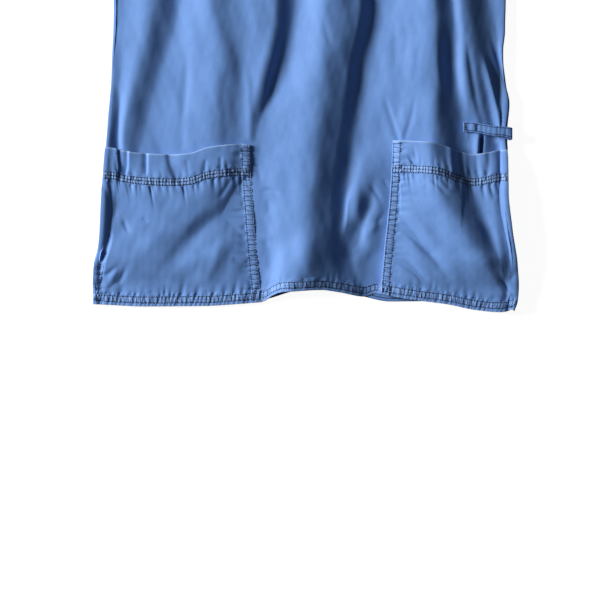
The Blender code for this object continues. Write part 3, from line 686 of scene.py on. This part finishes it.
def pocket_surface(side, share, row):
    across, up, width = pocket_place(side, share, row)
    inner = from_inner(side, share, width)
    seed = 40 if side == "right" else 60
    shape = pocket_lift(side, share, across, up) + wrinkles(POCKET_WRINKLES[side], across, up)
    shape += ripple(seed, across, up, 30, 0.25, 1.2) + ripple(seed + 1, across, up, 13, 0.05, 1.2)
    first, middle, last = POCKET_STITCH_ROWS
    in_rows = band(row, first - 1, last + 1)
    drawn_in = np.where(row < middle, puckers(BELOW_ROWS, seed + 5, across, middle - row),
                        puckers(ABOVE_ROWS, seed + 6, across, row - middle))
    detail = hem_relief(seed + 2, across, row) + grooves(row, POCKET_STITCH_ROWS)
    detail += POCKET_HEM_EXTRA * eased(first - 1.5, 1.5, row)
    detail += (in_rows * puckers(ROW_LADDER, seed + 4, across, 0 * row)
               + drawn_in * (1 - ROWS_STIFFEN * in_rows))
    ladder = band(inner, -2, EDGE_STITCHES[1]) * (0.35 + puckers(EDGE_LADDER, seed + 7, row, inner))
    detail += (ladder + grooves(inner, EDGE_STITCHES)) * eased(HEM_DEPTH - 2, 3, row)
    from_edge = inner - EDGE_STITCHES[1]
    detail += puckers(BESIDE_EDGE, seed + 8, row, from_edge) * eased(0, SEAM_RELEASE, from_edge)
    detail -= EDGE_PRESSED * (1 - eased(0, EDGE_PRESSED_OVER, inner))
    if side == "right":
        outer = share * width
        vent = grooves(outer, [VENT_STITCH]) + 0.3 * band(outer, -2, VENT_STITCH)
        vent += puckers(BESIDE_EDGE, seed + 9, row, np.abs(outer - VENT_STITCH))
        detail += vent * (1 - eased(VENT_TOP - 8, 8, row))
    points = place(across, up, relief(across, up)) + facing(across, up) * (2 * CLOTH + SEAM_GAP)
    points[..., 2] += np.maximum(shape, 0.0) + detail
    return points


# Meshes

def flat_grid(columns, rows):
    """The two coordinates of a grid's points, row by row."""
    return (table.ravel() for table in np.meshgrid(columns, rows))


def grid_faces(rows, columns, skip=None, wrap=False, flip=False):
    """Quads over a grid of points stored row by row, facing +Z when rows run up."""
    faces = []
    for low in range(0, (rows - 1) * columns, columns):
        high = low + columns
        for column in range(columns if wrap else columns - 1):
            after = (column + 1) % columns
            face = (low + column, low + after, high + after, high + column)
            if column != skip:
                faces.append(face[::-1] if flip else face)
    return faces


def spaced(*stretches):
    """Values with their own step in each stretch: (start, end, step)."""
    values = [stretches[0][0]]
    for start, end, step in stretches:
        count = max(1, round((end - start) / step))
        values += list(start + (end - start) * (index + 1) / count for index in range(count))
    return np.array(values, float)


def to_metres(points):
    flat = np.asarray(points, float).reshape(-1, 3)
    return (flat + np.array([0.0, HEM_LINE_Y, 0.0])) * MM


def make_mesh(name, points, faces, material, rim=CLOTH, turn=4.0, wear_and_highlight=None):
    """Cloth from a grid of points in millimetres, with its edges turned in to show their thickness."""
    data = bpy.data.meshes.new(name)
    data.from_pydata(to_metres(points).tolist(), [], faces)
    # The pale mask stored here is painted highlight along edges and between stitch rows, partly real wear
    if wear_and_highlight is not None:
        data.attributes.new("wear_and_highlight", "FLOAT", "POINT").data.foreach_set("value", wear_and_highlight)
    mesh = bmesh.new()
    mesh.from_mesh(data)
    bmesh.ops.delete(mesh, geom=[vert for vert in mesh.verts if not vert.link_faces], context="VERTS")
    if rim:
        turn_edges_in(mesh, rim * MM, turn * MM)
        for vert in mesh.verts:
            vert.co.z = max(vert.co.z, 0.0)
    mesh.to_mesh(data)
    mesh.free()
    data.shade_smooth()
    data.materials.append(material)
    piece = bpy.data.objects.new(name, data)
    bpy.context.scene.collection.objects.link(piece)
    return piece


def turn_edges_in(mesh, thickness, turn):
    """Extrudes every open edge through the cloth's thickness and then back under it."""
    mesh.normal_update()
    inward = {}
    for edge in mesh.edges:
        if edge.is_boundary:
            start, end = (vert.co for vert in edge.verts)
            along = (end - start).normalized()
            push = edge.link_faces[0].calc_center_median() - start
            push -= along * push.dot(along)
            if push.length > 1e-9:
                for vert in edge.verts:
                    inward[vert] = inward.get(vert, Vector()) + push.normalized()
    moves = {vert: (vert.normal * -thickness, push.normalized() * turn) for vert, push in inward.items()}
    for step in range(2):
        border = [edge for edge in mesh.edges if edge.is_boundary]
        made = bmesh.ops.extrude_edge_only(mesh, edges=border)["geom"]
        moves_before, moves = moves, {}
        for vert in {item for item in made if isinstance(item, bmesh.types.BMVert)}:
            for edge in vert.link_edges:
                source = edge.other_vert(vert)
                if source in moves_before:
                    moves[vert] = moves_before[source]
                    vert.co += moves[vert][step]


def patchy(along, up):
    """Between 0 and 1, unevenly."""
    return 0.5 + 0.5 * np.tanh(ripple(7, along, up, 6, 1.0, 1.0))


def hem_wear_and_highlight(along, row):
    """Painted highlight along a turned hem, partly rubbed wear: pale on its lower edge and between its rows.
    """
    pale = 0.45 * band(row, HEM_STITCH_ROWS[0], HEM_STITCH_ROWS[1], 1.0) * patchy(along, row)
    return np.maximum(pale, 0.7 * np.exp(-(row / 1.0) ** 2))


def make_front(material):
    rows = spaced((0, 20, 1.0), (20, 372, 2.0), (372, V_POINT_UP, 3.6), (V_POINT_UP, LENGTH, 3.4))
    on_right = spaced((0, 0.05, 0.003), (0.05, 1, 0.0083))
    on_left = spaced((0, 0.70, 0.0083), (0.70, 0.95, 0.0055), (0.95, 1, 0.003))
    half, columns = len(on_right), len(on_right) + len(on_left)
    share, row = flat_grid(np.concatenate([on_right, on_left]), rows)
    left_half = np.tile(np.arange(columns) >= half, len(rows))
    up = row
    for _ in range(SETTLING_ROUNDS):
        centre = fold_run(FOLDS[CENTRE_FOLD].across, up)
        at, _height = fold_lines(up)
        start = np.where(left_half, centre + neck_edge(up), at[0])
        end = np.where(left_half, at[-1], centre - neck_edge(up))
        across = start + (end - start) * share
        up = up_at(row, across, FRONT_HEM, shoulder_up)
    joined = {index * columns + half: index * columns + half - 1
              for index, value in enumerate(rows) if value <= V_POINT_UP}
    faces = [tuple(joined.get(index, index) for index in face)
             for face in grid_faces(len(rows), columns, skip=half - 1)]
    # The hem's pale mask is painted highlight, partly wear
    return make_mesh("front_cloth", front_surface(across, row), faces, material, wear_and_highlight=hem_wear_and_highlight(across, row))


def make_pocket(side, material):
    rows = spaced((0, HEM_DEPTH + 5, 0.9), (HEM_DEPTH + 5, BAND_ROW, 1.25), (BAND_ROW, POCKET_TOP_ROW, 0.9))
    shares = spaced((0, 0.05, 0.0035), (0.05, 1, 0.0062 if side == "right" else 0.0075))
    share, row = flat_grid(shares if side == "right" else 1 - shares[::-1], rows)
    across, _up, width = pocket_place(side, share, row)
    inner = from_inner(side, share, width)
    # Pale mask: painted highlight on the hem, the mouth's edge, the inner edge and between the stitch rows,
    # partly real rubbed wear
    wear_and_highlight = np.maximum.reduce([
        hem_wear_and_highlight(across, row),
        np.exp(-((POCKET_TOP_ROW - row) / 1.2) ** 2),
        EDGE_WEAR_AND_HIGHLIGHT[side] * np.exp(-(inner / 0.9) ** 2),
        0.35 * band(row, POCKET_STITCH_ROWS[0], POCKET_STITCH_ROWS[2], 0.8),
        0.28 * band(inner, *EDGE_STITCHES, 1.0) * patchy(across, row)])
    return make_mesh("pocket_" + side + "_cloth", pocket_surface(side, share, row),
                     grid_faces(len(rows), len(shares)), material, rim=CLOTH + 0.3, turn=6.0, wear_and_highlight=wear_and_highlight)


def make_back(material):
    """Back: a closed thin sheet. Its underside rests flat but for shallow creases."""
    rows = spaced((0, 20, 1.3), (20, SHOULDER_SLOPE_START, 3.6), (SHOULDER_SLOPE_START, LENGTH, 3.6))
    share, row = flat_grid(np.linspace(-1, 1, BACK_COLUMNS), rows)
    across = share * SHOULDER_TIP_ACROSS
    for _ in range(SETTLING_ROUNDS):
        up = up_at(row, across, BACK_HEM, back_top)
        edge = np.where(share < 0, side_edge(-1, up) + BACK_INSET, side_edge(1, up) - BACK_INSET)
        across = np.abs(share) * edge
    roping = in_hem(row) * puckers(HEM_ROPING, 81, across, row)
    dips = grooves(row, HEM_STITCH_ROWS, 1.4, 0.25)
    inside = CLOTH + 0.5 * roping + 0.6 * dips + ripple(82, across, up, 40, 0.08)
    creases = np.minimum(wrinkles(BACK_WRINKLES, across, up) + ripple(83, across, up, 55, 0.10), 0.0)
    under = -0.9 * creases - 0.35 * (roping + dips)
    points = np.concatenate([place(across, up, np.maximum(inside, under + 0.5)),
                             place(across, up, np.clip(under, 0.0, 0.9))])
    count = len(across)
    faces = grid_faces(len(rows), BACK_COLUMNS)
    faces += [tuple(index + count for index in face[::-1]) for face in faces]
    grid = np.arange(count).reshape(len(rows), BACK_COLUMNS)
    border = np.concatenate([grid[0], grid[1:, -1], grid[-1, -2::-1], grid[-2:0:-1, 0]]).tolist()
    for here, after in zip(border, border[1:] + border[:1]):
        faces.append((here, here + count, after + count, after))
    return make_mesh("back_cloth", points, faces, material, rim=0)


def sleeve_surface(side, along, around):
    """along runs 0 to 1 to the cuff. around runs 0 to 1 up the front face and 1 to 2 down the back."""
    share = np.where(around <= 1, around, 2 - around)
    start_up = ARMHOLE_BOTTOM_UP + (SHOULDER_TIP_UP - ARMHOLE_BOTTOM_UP) * share
    start_across = through(ARMHOLE, start_up) - SEAM_TUCK
    end_across, end_up = (low + (high - low) * share for low, high in zip(CUFF_BOTTOM, CUFF_TOP))
    across = start_across + (end_across - start_across) * along
    up = start_up + (end_up - start_up) * along
    middle = CLOTH + 0.5 * (SEAM_GAP + (SLEEVE_ROOM - SEAM_GAP) * eased(0, SLEEVE_OPENS_OVER, along))
    from_fold = np.minimum(share, 1 - share)
    half = middle * np.sqrt(1 - np.clip(1 - from_fold / SLEEVE_ROUNDING, 0, 1) ** 2)
    from_cuff = (1 - along) * SLEEVE_SPAN
    detail = wrinkles(SLEEVE_WRINKLES, across, up) + ripple(91 if side > 0 else 92, across, up, 36, 0.2)
    detail += band(from_cuff, -5, SLEEVE_HEM, 1.5) * 0.4
    detail += grooves(from_cuff, SLEEVE_STITCHES) + grooves(along * SLEEVE_SPAN, ARMHOLE_STITCHES)
    detail += np.where(from_cuff > SLEEVE_HEM, puckers(ABOVE_HEM, 93, up, from_cuff - SLEEVE_HEM), 0.0)
    detail *= eased(0, 0.08, from_fold)
    rise = np.where(around <= 1, half + detail, -np.maximum(half + 0.4 * detail, 0.0))
    return place(side * across, up, np.maximum(middle + rise, 0.0))


def make_sleeve(name, side, material):
    stations = spaced((0, 0.84, 0.0125), (0.84, 1.0, 0.006))
    around, along = flat_grid(np.linspace(0, 2, SLEEVE_COLUMNS, endpoint=False), stations)
    faces = grid_faces(len(stations), SLEEVE_COLUMNS, wrap=True, flip=side > 0)
    return make_mesh(name, sleeve_surface(side, along, around), faces, material, turn=SLEEVE_HEM)


def band_surface(side, along, from_neck):
    """Band along the V. along runs 0 to 1 up it, and from_neck is the distance from the V's seam."""
    reach = LENGTH - V_POINT_UP
    share = from_neck / BAND_WIDTH
    low = V_POINT_UP + BAND_GAP + BAND_WIDTH * math.hypot(NECK_ACROSS, reach) / NECK_ACROSS * share
    up = low + (LENGTH - low) * along
    across = side * NECK_ACROSS * (up - low) / reach
    crown = 0.35 * np.sin(np.pi * share) + puckers(BESIDE_EDGE, 95 + side, along * reach * V_SLANT, from_neck)
    crown += grooves(from_neck, (BAND_STITCH, BAND_WIDTH - BAND_STITCH))
    return place(across, up, relief(side * neck_edge(up), up) + CLOTH + crown)


def make_front_band(material):
    """Band along the V, mitred at its point."""
    from_neck, along = flat_grid(np.linspace(0, BAND_WIDTH, BAND_COLUMNS), np.linspace(0, 1, BAND_STEPS))
    points = np.concatenate([band_surface(side, along, from_neck) for side in (-1, 1)])
    count = BAND_STEPS * BAND_COLUMNS
    faces = grid_faces(BAND_STEPS, BAND_COLUMNS)
    at_point = {count + column: column for column in range(BAND_COLUMNS)}
    faces += [tuple(at_point.get(index + count, index + count) for index in face[::-1]) for face in faces]
    return make_mesh("front_neck_band_cloth", points, faces, material, turn=3.0)


def back_band_surface(across, from_edge):
    edge = back_top(across) - SEAM_TUCK
    up = edge + (np.minimum(edge + BAND_WIDTH, LENGTH) - edge) * from_edge / BAND_WIDTH
    return place(across, up, CLOTH + SEAM_GAP + grooves(from_edge, [BAND_WIDTH - BAND_STITCH], depth=0.3))


def make_back_band(material):
    share, from_edge = flat_grid(np.linspace(-NECK_BAND_END, NECK_BAND_END, BACK_BAND_STEPS),
                                 np.linspace(0, BAND_WIDTH, BAND_COLUMNS))
    return make_mesh("back_neck_band_cloth", back_band_surface(share * SHOULDER_TIP_ACROSS, from_edge),
                     grid_faces(BAND_COLUMNS, BACK_BAND_STEPS), material, turn=1.5)


def loop_up(across):
    return LOOP_START_UP + LOOP_SLOPE * (across - LOOP_START_ACROSS)


def loop_path():
    """The doubled strip's outer line: out along the top layer, round the bend and back below."""
    step = np.arange(LOOP_STEPS + 1, dtype=float)
    across = LOOP_START_ACROSS + (LOOP_BEND_ACROSS - LOOP_START_ACROSS) * step / LOOP_STEPS
    free = np.maximum(0.0, across - LOOP_CREST_ACROSS)
    height = relief(across - free, loop_up(across)) + CLOTH + LOOP_STANDOFF - free * LOOP_DROOP
    room = SEAM_GAP + LOOP_ROOM * eased(*LOOP_OPENS, step)
    radius = 0.5 * (room[-1] + 2 * CLOTH)
    angles = np.radians(np.linspace(80, -80, 15))
    top = np.stack([across, height + 2 * CLOTH + room], axis=-1)
    bend_up = height[-1] + radius + radius * np.sin(angles)
    bend = np.stack([LOOP_BEND_ACROSS + radius * np.cos(angles), bend_up], axis=-1)
    below = np.stack([across, height], axis=-1)[::-1]
    return np.concatenate([top, bend, below])


def loop_surface(along, from_middle):
    """along is a share of the way round the strip, from_middle runs up the garment in millimetres."""
    path = loop_path()
    at = along * (len(path) - 1)
    across, height = (np.interp(at, np.arange(len(path)), values) for values in path.T)
    to_end = eased(LOOP_END_ACROSS - 15, 15, across)
    share = from_middle / LOOP_WIDTH
    twist = -to_end * (0.5 - share) * (1.2 + 3.4 * eased(0.45, 0.2, along))
    sway = 0.7 * np.sin((across - LOOP_START_ACROSS) / 7.5) * (1 - to_end)
    height = height + 0.5 * np.sqrt(np.clip(np.cos(np.pi * share), 0, 1))
    height += grooves(np.abs(from_middle), [0.5 * LOOP_WIDTH - LOOP_STITCH], depth=0.5)
    height += puckers(LOOP_PUCKER, 71, across, from_middle) * (along < 0.45)
    return place(across, loop_up(across) + from_middle + twist + sway, height)


loop_surface.unit = 1 / LOOP_LENGTH


def make_loop(material):
    along, share = flat_grid(np.linspace(0, 1, LOOP_COLUMNS), np.linspace(-0.5, 0.5, LOOP_ROWS))
    faces = grid_faces(LOOP_ROWS, LOOP_COLUMNS)
    return make_mesh("loop_cloth", loop_surface(along, share * LOOP_WIDTH), faces, material, turn=2.0)


# Topstitching

def on_surface(surface, first, second, step=0.4):
    """Points of a surface and its unit normals. unit is one millimetre in the surface's first coordinate."""
    shape = first.shape + (3,)
    first, second = first.ravel(), second.ravel()
    points = surface(first, second)
    ahead = surface(first + step * getattr(surface, "unit", 1.0), second) - points
    above = surface(first, second + step) - points
    return points.reshape(shape), unit(np.cross(ahead, above)).reshape(shape)


def row_of_stitches(points, normals):
    """Ends and normals of the stitches along a dense line of points."""
    runs = np.linalg.norm(np.diff(points, axis=0), axis=1)
    along = np.concatenate([[0], np.cumsum(runs)])
    pitch = STITCH + STITCH_GAP
    centres = (np.arange(int(along[-1] // pitch)) + 0.5) * pitch

    def at(values, table):
        return np.stack([np.interp(values, along, table[:, axis]) for axis in range(3)], axis=-1)

    return at(centres - 0.5 * STITCH, points), at(centres + 0.5 * STITCH, points), at(centres, normals)


def thread_bodies(start, end, normal, radius):
    """A short round body of thread between each pair of ends, sunk in at its tips."""
    length = np.linalg.norm(end - start, axis=1, keepdims=True)
    tangent = unit(end - start)
    normal = unit(normal - tangent * (normal * tangent).sum(axis=1, keepdims=True))
    across = np.cross(tangent, normal)
    verts = []
    for section in THREAD_SECTIONS:
        centre = 0.5 * (start + end) + tangent * (section.along * length) + normal * (section.rise * radius)
        for side in range(THREAD_SIDES):
            angle = 2 * math.pi * (side + 0.5) / THREAD_SIDES
            outward = across * math.cos(angle) + normal * math.sin(angle)
            verts.append(centre + outward * (section.size * radius))
    body = grid_faces(len(THREAD_SECTIONS), THREAD_SIDES, wrap=True)
    body += [tuple(range(THREAD_SIDES))[::-1], tuple(range(len(verts) - THREAD_SIDES, len(verts)))]
    faces = [tuple(index + number * len(verts) for index in face)
             for number in range(len(start)) for face in body]
    return np.stack(verts, axis=1).reshape(-1, 3), faces


def join_stitches(name, lines, material):
    """One mesh of thread. A line of two dimensions is a set of bars, one to a row: bartacks, or dark bars
    painted in as the shade between puckers.
    """
    points, faces = np.zeros((0, 3)), []
    for surface, first, second in lines:
        at, normals = on_surface(surface, first, second)
        if first.ndim == 2:
            ends = [table.reshape(-1, 3) for table in (at[:, :-1], at[:, 1:], normals[:, 1:])]
            verts, bodies = thread_bodies(*ends, SHADE_BAR_AND_BARTACK_RADIUS)
        else:
            verts, bodies = thread_bodies(*row_of_stitches(at, normals), THREAD)
        verts[:, 2] = np.maximum(verts[:, 2], 0.0)
        faces += [tuple(index + len(points) for index in face) for face in bodies]
        points = np.concatenate([points, verts])
    return make_mesh(name, points, faces, material, rim=0)


def dense(start, end, step=0.8):
    return np.linspace(start, end, max(2, int(abs(end - start) / step)))


def shade_bar_places(seed, start, end, kind):
    """Uneven places along a seam, as a column, of dark thread bars that stand in for the shade between
    puckers.
    """
    own = np.random.default_rng(seed)
    spacing = SHADE_BAR_SPACING[kind]
    count = int(abs(end - start) / spacing)
    places = np.linspace(start, end, count) + own.uniform(-0.14, 0.14, count) * spacing
    return places[:, None]


def level(surface, first, second):
    """A row of stitches along which the second coordinate stays the same."""
    return surface, first, np.full_like(first, second)


def shade_bars_and_bartacks(surface, places, ends, count):
    """Bars between two rows of stitches, at a column of places in the first coordinate: bartacks, or dark
    bars painted as pucker shade.
    """
    return (surface, *np.broadcast_arrays(places, np.linspace(*ends, count)))


def front_lines():
    start, end = HEM_BETWEEN_POCKETS
    lines = [level(front_surface, dense(start, end), row) for row in HEM_STITCH_ROWS]
    # dark thread bars across the hem: painted shade between its puckers
    lines.append(shade_bars_and_bartacks(front_surface, shade_bar_places(1, start + 2, end - 2, "hem"), HEM_STITCH_ROWS, 4))
    shoulder = dense(NECK_ACROSS + 2, SHOULDER_TIP_ACROSS - 4)
    return lines + [level(front_surface, side * shoulder, LENGTH - SHOULDER_STITCH) for side in (-1, 1)]


def pocket_lines(side):
    def beside_edge(distance, row):
        """Share of the width at a distance from the inner edge."""
        _across, _up, true_width = pocket_place(side, np.full(row.size, 0.5), row.ravel())
        share = distance / true_width.reshape(row.shape)
        return 1 - share if side == "right" else share

    width = POCKET_WIDTH[side]
    surface = partial(pocket_surface, side)
    surface.unit = 1 / width
    share = dense(0.006 * width, 0.994 * width) / width
    lines = [level(surface, share, row) for row in HEM_STITCH_ROWS + POCKET_STITCH_ROWS]
    # dark thread bars between the rows: painted shade between puckers
    for seed, kind, ends, count in ((2, "hem", HEM_STITCH_ROWS, 4), (3, "rows", POCKET_STITCH_ROWS[:2], 3),
                                    (4, "rows", POCKET_STITCH_ROWS[1:], 3)):
        places = shade_bar_places(seed, 0.01 * width, 0.99 * width, kind) / width
        lines.append(shade_bars_and_bartacks(surface, places, ends, count))
    row = dense(2, POCKET_TOP_ROW - 1)
    lines += [(surface, beside_edge(distance, row), row) for distance in EDGE_STITCHES]
    # dark thread bars along the inner edge: painted shade between puckers
    row, distance = np.broadcast_arrays(shade_bar_places(5, HEM_DEPTH + 2, POCKET_TOP_ROW - 3, "edge"),
                                        np.linspace(*EDGE_STITCHES, 5))
    lines.append((surface, beside_edge(distance, row), row))
    if side == "right":
        row = dense(1, VENT_TOP)
        lines.append((surface, 1 - beside_edge(VENT_STITCH, row), row))
    return lines


def loop_lines():
    reach = 0.5 * LOOP_WIDTH - LOOP_STITCH
    along = dense(0.5, 0.46 * LOOP_LENGTH) / LOOP_LENGTH
    lines = [level(loop_surface, along, edge) for edge in (-reach, reach)]
    for middle in BARTACKS:
        across = middle + np.array([-1.1, -0.35, 0.4, 1.15])[:, None]
        step = (across - LOOP_START_ACROSS) / (LOOP_BEND_ACROSS - LOOP_START_ACROSS) * LOOP_STEPS
        lines.append(shade_bars_and_bartacks(loop_surface, step / (len(loop_path()) - 1), (-reach, reach), 5))
    return lines


def back_hem(height, across, row):
    """The back's hem, at one height over the ground."""
    return place(across, up_at(row, across, BACK_HEM, back_top), np.full_like(across, height))


def back_lines():
    """Seen from inside, and from below."""
    return [level(partial(back_hem, height), dense(*BACK_HEM_STITCHES), row)
            for height in (CLOTH - 0.1, 0.0) for row in HEM_STITCH_ROWS]


def sleeve_lines(side):
    def surface(around, from_armhole):
        return sleeve_surface(side, from_armhole / SLEEVE_SPAN, around)

    surface.unit = 1 / SLEEVE_HEIGHT
    distances = [SLEEVE_SPAN - stitches for stitches in SLEEVE_STITCHES] + list(ARMHOLE_STITCHES)
    return [level(surface, dense(start * SLEEVE_HEIGHT, end * SLEEVE_HEIGHT) / SLEEVE_HEIGHT, distance)
            for distance in distances for start, end in ((0.06, 0.94), (1.94, 1.06))]


def band_lines():
    lines = []
    for side in (-1, 1):
        surface = partial(band_surface, side)
        surface.unit = 1 / BAND_LENGTH
        along = dense(2, BAND_LENGTH - 2) / BAND_LENGTH
        lines += [level(surface, along, distance) for distance in (BAND_STITCH, BAND_WIDTH - BAND_STITCH)]
    lines.append(level(back_band_surface, dense(-86, 86), BAND_WIDTH - BAND_STITCH))
    return lines


# Materials

def set_sockets(material, node, sockets):
    """Gives each named socket its value, or the output of another node."""
    for name, value in sockets.items():
        if isinstance(value, bpy.types.NodeSocket):
            material.node_tree.links.new(value, node.inputs[name])
        else:
            node.inputs[name].default_value = value


def add_node(material, kind, sockets, operation=None):
    node = material.node_tree.nodes.new("ShaderNode" + kind)
    if operation:
        node.operation = operation
    set_sockets(material, node, sockets)
    return node


def mix_colours(material, factor, a, b):
    node = add_node(material, "Mix", {})
    node.data_type = "RGBA"
    set_sockets(material, node, {"Factor": factor, "A": a, "B": b})
    return node.outputs["Result"]


def bumpy(material, strength, distance, height):
    sockets = {"Strength": strength, "Distance": distance, "Height": height}
    return add_node(material, "Bump", sockets).outputs["Normal"]


def new_material(name, sockets):
    """A material, and its shader with these of its own sockets set."""
    material = bpy.data.materials.new(name)
    material.use_nodes = True
    shader = material.node_tree.nodes["Principled BSDF"]
    set_sockets(material, shader, sockets)
    return material, shader


def cloth_material():
    """Poly-cotton twill: fine diagonal weave, faint mottling, a soft satin sheen, and pale paint along edges
    and stitch rows that is painted highlight, partly wear.
    """
    material, shader = new_material("scrub_cloth", {
        "Roughness": 0.65, "Specular IOR Level": 0.28, "Sheen Weight": 0.2, "Sheen Roughness": 0.45,
        "Sheen Tint": CLOTH_SHEEN})
    where = add_node(material, "TexCoord", {}).outputs["Object"]
    mottle = add_node(material, "TexNoise", {"Vector": where, "Scale": 55.0, "Detail": 5.0}).outputs["Fac"]
    stretch = add_node(material, "Mapping", {"Vector": where, "Scale": (900.0, 160.0, 900.0)})
    slub = add_node(material, "TexNoise", {
        "Vector": stretch.outputs["Vector"], "Scale": 1.0, "Detail": 2.0}).outputs["Fac"]
    both = add_node(material, "Math", {0: mottle, 1: slub}, "ADD").outputs["Value"]
    spread = add_node(material, "MapRange", {"Value": both, "From Min": 0.7, "From Max": 1.3})
    colour = mix_colours(material, spread.outputs["Result"], CLOTH_DARK, CLOTH_LIGHT)
    # Pale mask: painted highlight along edges and between stitch rows, partly real wear
    wear_and_highlight_node = add_node(material, "Attribute", {})
    wear_and_highlight_node.attribute_name = "wear_and_highlight"
    pale = mix_colours(material, wear_and_highlight_node.outputs["Fac"], colour, CLOTH_WEAR_AND_HIGHLIGHT)

    twill = add_node(material, "TexWave", {"Vector": where, "Scale": 420.0, "Distortion": 0.6, "Detail": 1.0})
    twill.wave_type = "BANDS"
    twill.bands_direction = "DIAGONAL"
    yarn = add_node(material, "Math", {0: slub, 1: 0.6, 2: twill.outputs["Fac"]}, "MULTIPLY_ADD")
    normal = bumpy(material, 0.35, 0.00015, yarn.outputs["Value"])
    set_sockets(material, shader, {"Base Color": pale, "Normal": normal})
    return material


def thread_material():
    """Navy polyester thread with its twist."""
    material, shader = new_material("navy_thread", {"Roughness": 0.55, "Specular IOR Level": 0.3})
    where = add_node(material, "TexCoord", {}).outputs["Object"]
    twist = add_node(material, "TexNoise", {"Vector": where, "Scale": 1400.0}).outputs["Fac"]
    colour = mix_colours(material, twist, THREAD_DARK, THREAD_LIGHT)
    set_sockets(material, shader, {"Base Color": colour, "Normal": bumpy(material, 0.5, 0.0001, twist)})
    return material


def declare(piece, node):
    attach(piece, "root")
    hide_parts(node)


# Stage, camera and all the pieces

def make_stage():
    bpy.ops.mesh.primitive_plane_add(size=6, location=(0, 0, -0.0005))
    floor = bpy.context.object
    floor.name = "floor"
    floor.visible_diffuse = False
    floor.visible_glossy = False
    floor.data.materials.append(new_material("pale_floor", {
        "Base Color": (0.30, 0.30, 0.30, 1.0), "Roughness": 0.9, "Specular IOR Level": 0.0,
        "Emission Color": (1.0, 1.0, 1.0, 1.0), "Emission Strength": 0.94})[0])

    world = bpy.data.worlds.new("studio")
    world.use_nodes = True
    background = world.node_tree.nodes["Background"].inputs
    background["Color"].default_value = (0.85, 0.92, 1.0, 1.0)
    background["Strength"].default_value = 0.066
    bpy.context.scene.world = world

    light = bpy.data.lights.new("key", "AREA")
    light.size = 0.35 * KEY_DISTANCE
    light.energy = 18.0 * KEY_DISTANCE ** 2
    lamp = bpy.data.objects.new("key", light)
    direction = Vector((math.cos(KEY_AZIMUTH) * math.cos(KEY_ELEVATION),
                        math.sin(KEY_AZIMUTH) * math.cos(KEY_ELEVATION),
                        math.sin(KEY_ELEVATION)))
    lamp.location = Vector((0, -0.15, 0)) + direction * KEY_DISTANCE
    lamp.rotation_euler = direction.to_track_quat("Z", "Y").to_euler()
    bpy.context.scene.collection.objects.link(lamp)


def make_camera():
    camera = bpy.data.cameras.new("camera")
    camera.sensor_width = SENSOR
    camera.lens = SENSOR * CAMERA_HEIGHT / (IMAGE_WIDTH * PIXEL)
    camera.clip_start = 0.01
    eye = bpy.data.objects.new("camera", camera)
    eye.location = (CAMERA_AIM[0], CAMERA_AIM[1], CAMERA_HEIGHT)
    bpy.context.scene.collection.objects.link(eye)
    bpy.context.scene.camera = eye
    bpy.context.scene.view_settings.view_transform = "Standard"


def main():
    make_camera()
    make_stage()
    cloth = cloth_material()
    thread = thread_material()
    declare(make_back(cloth), "back")
    declare(make_front(cloth), "front")
    declare(make_pocket("right", cloth), "pocket_right")
    declare(make_pocket("left", cloth), "pocket_left")
    declare(make_sleeve("sleeve_right_cloth", -1, cloth), "sleeve_right")
    declare(make_sleeve("sleeve_left_cloth", 1, cloth), "sleeve_left")
    declare(make_front_band(cloth), "front_neck_band")
    declare(make_back_band(cloth), "back_neck_band")
    declare(make_loop(cloth), "utility_loop")
    lines = {
        "front": front_lines(), "pocket_right": pocket_lines("right"), "pocket_left": pocket_lines("left"),
        "loop": loop_lines(), "back": back_lines(), "sleeve_right": sleeve_lines(-1),
        "sleeve_left": sleeve_lines(1), "neck": band_lines(),
    }
    for name, rows in lines.items():
        piece = join_stitches("stitching_" + name, rows, thread)
        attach(piece, "root")


main()
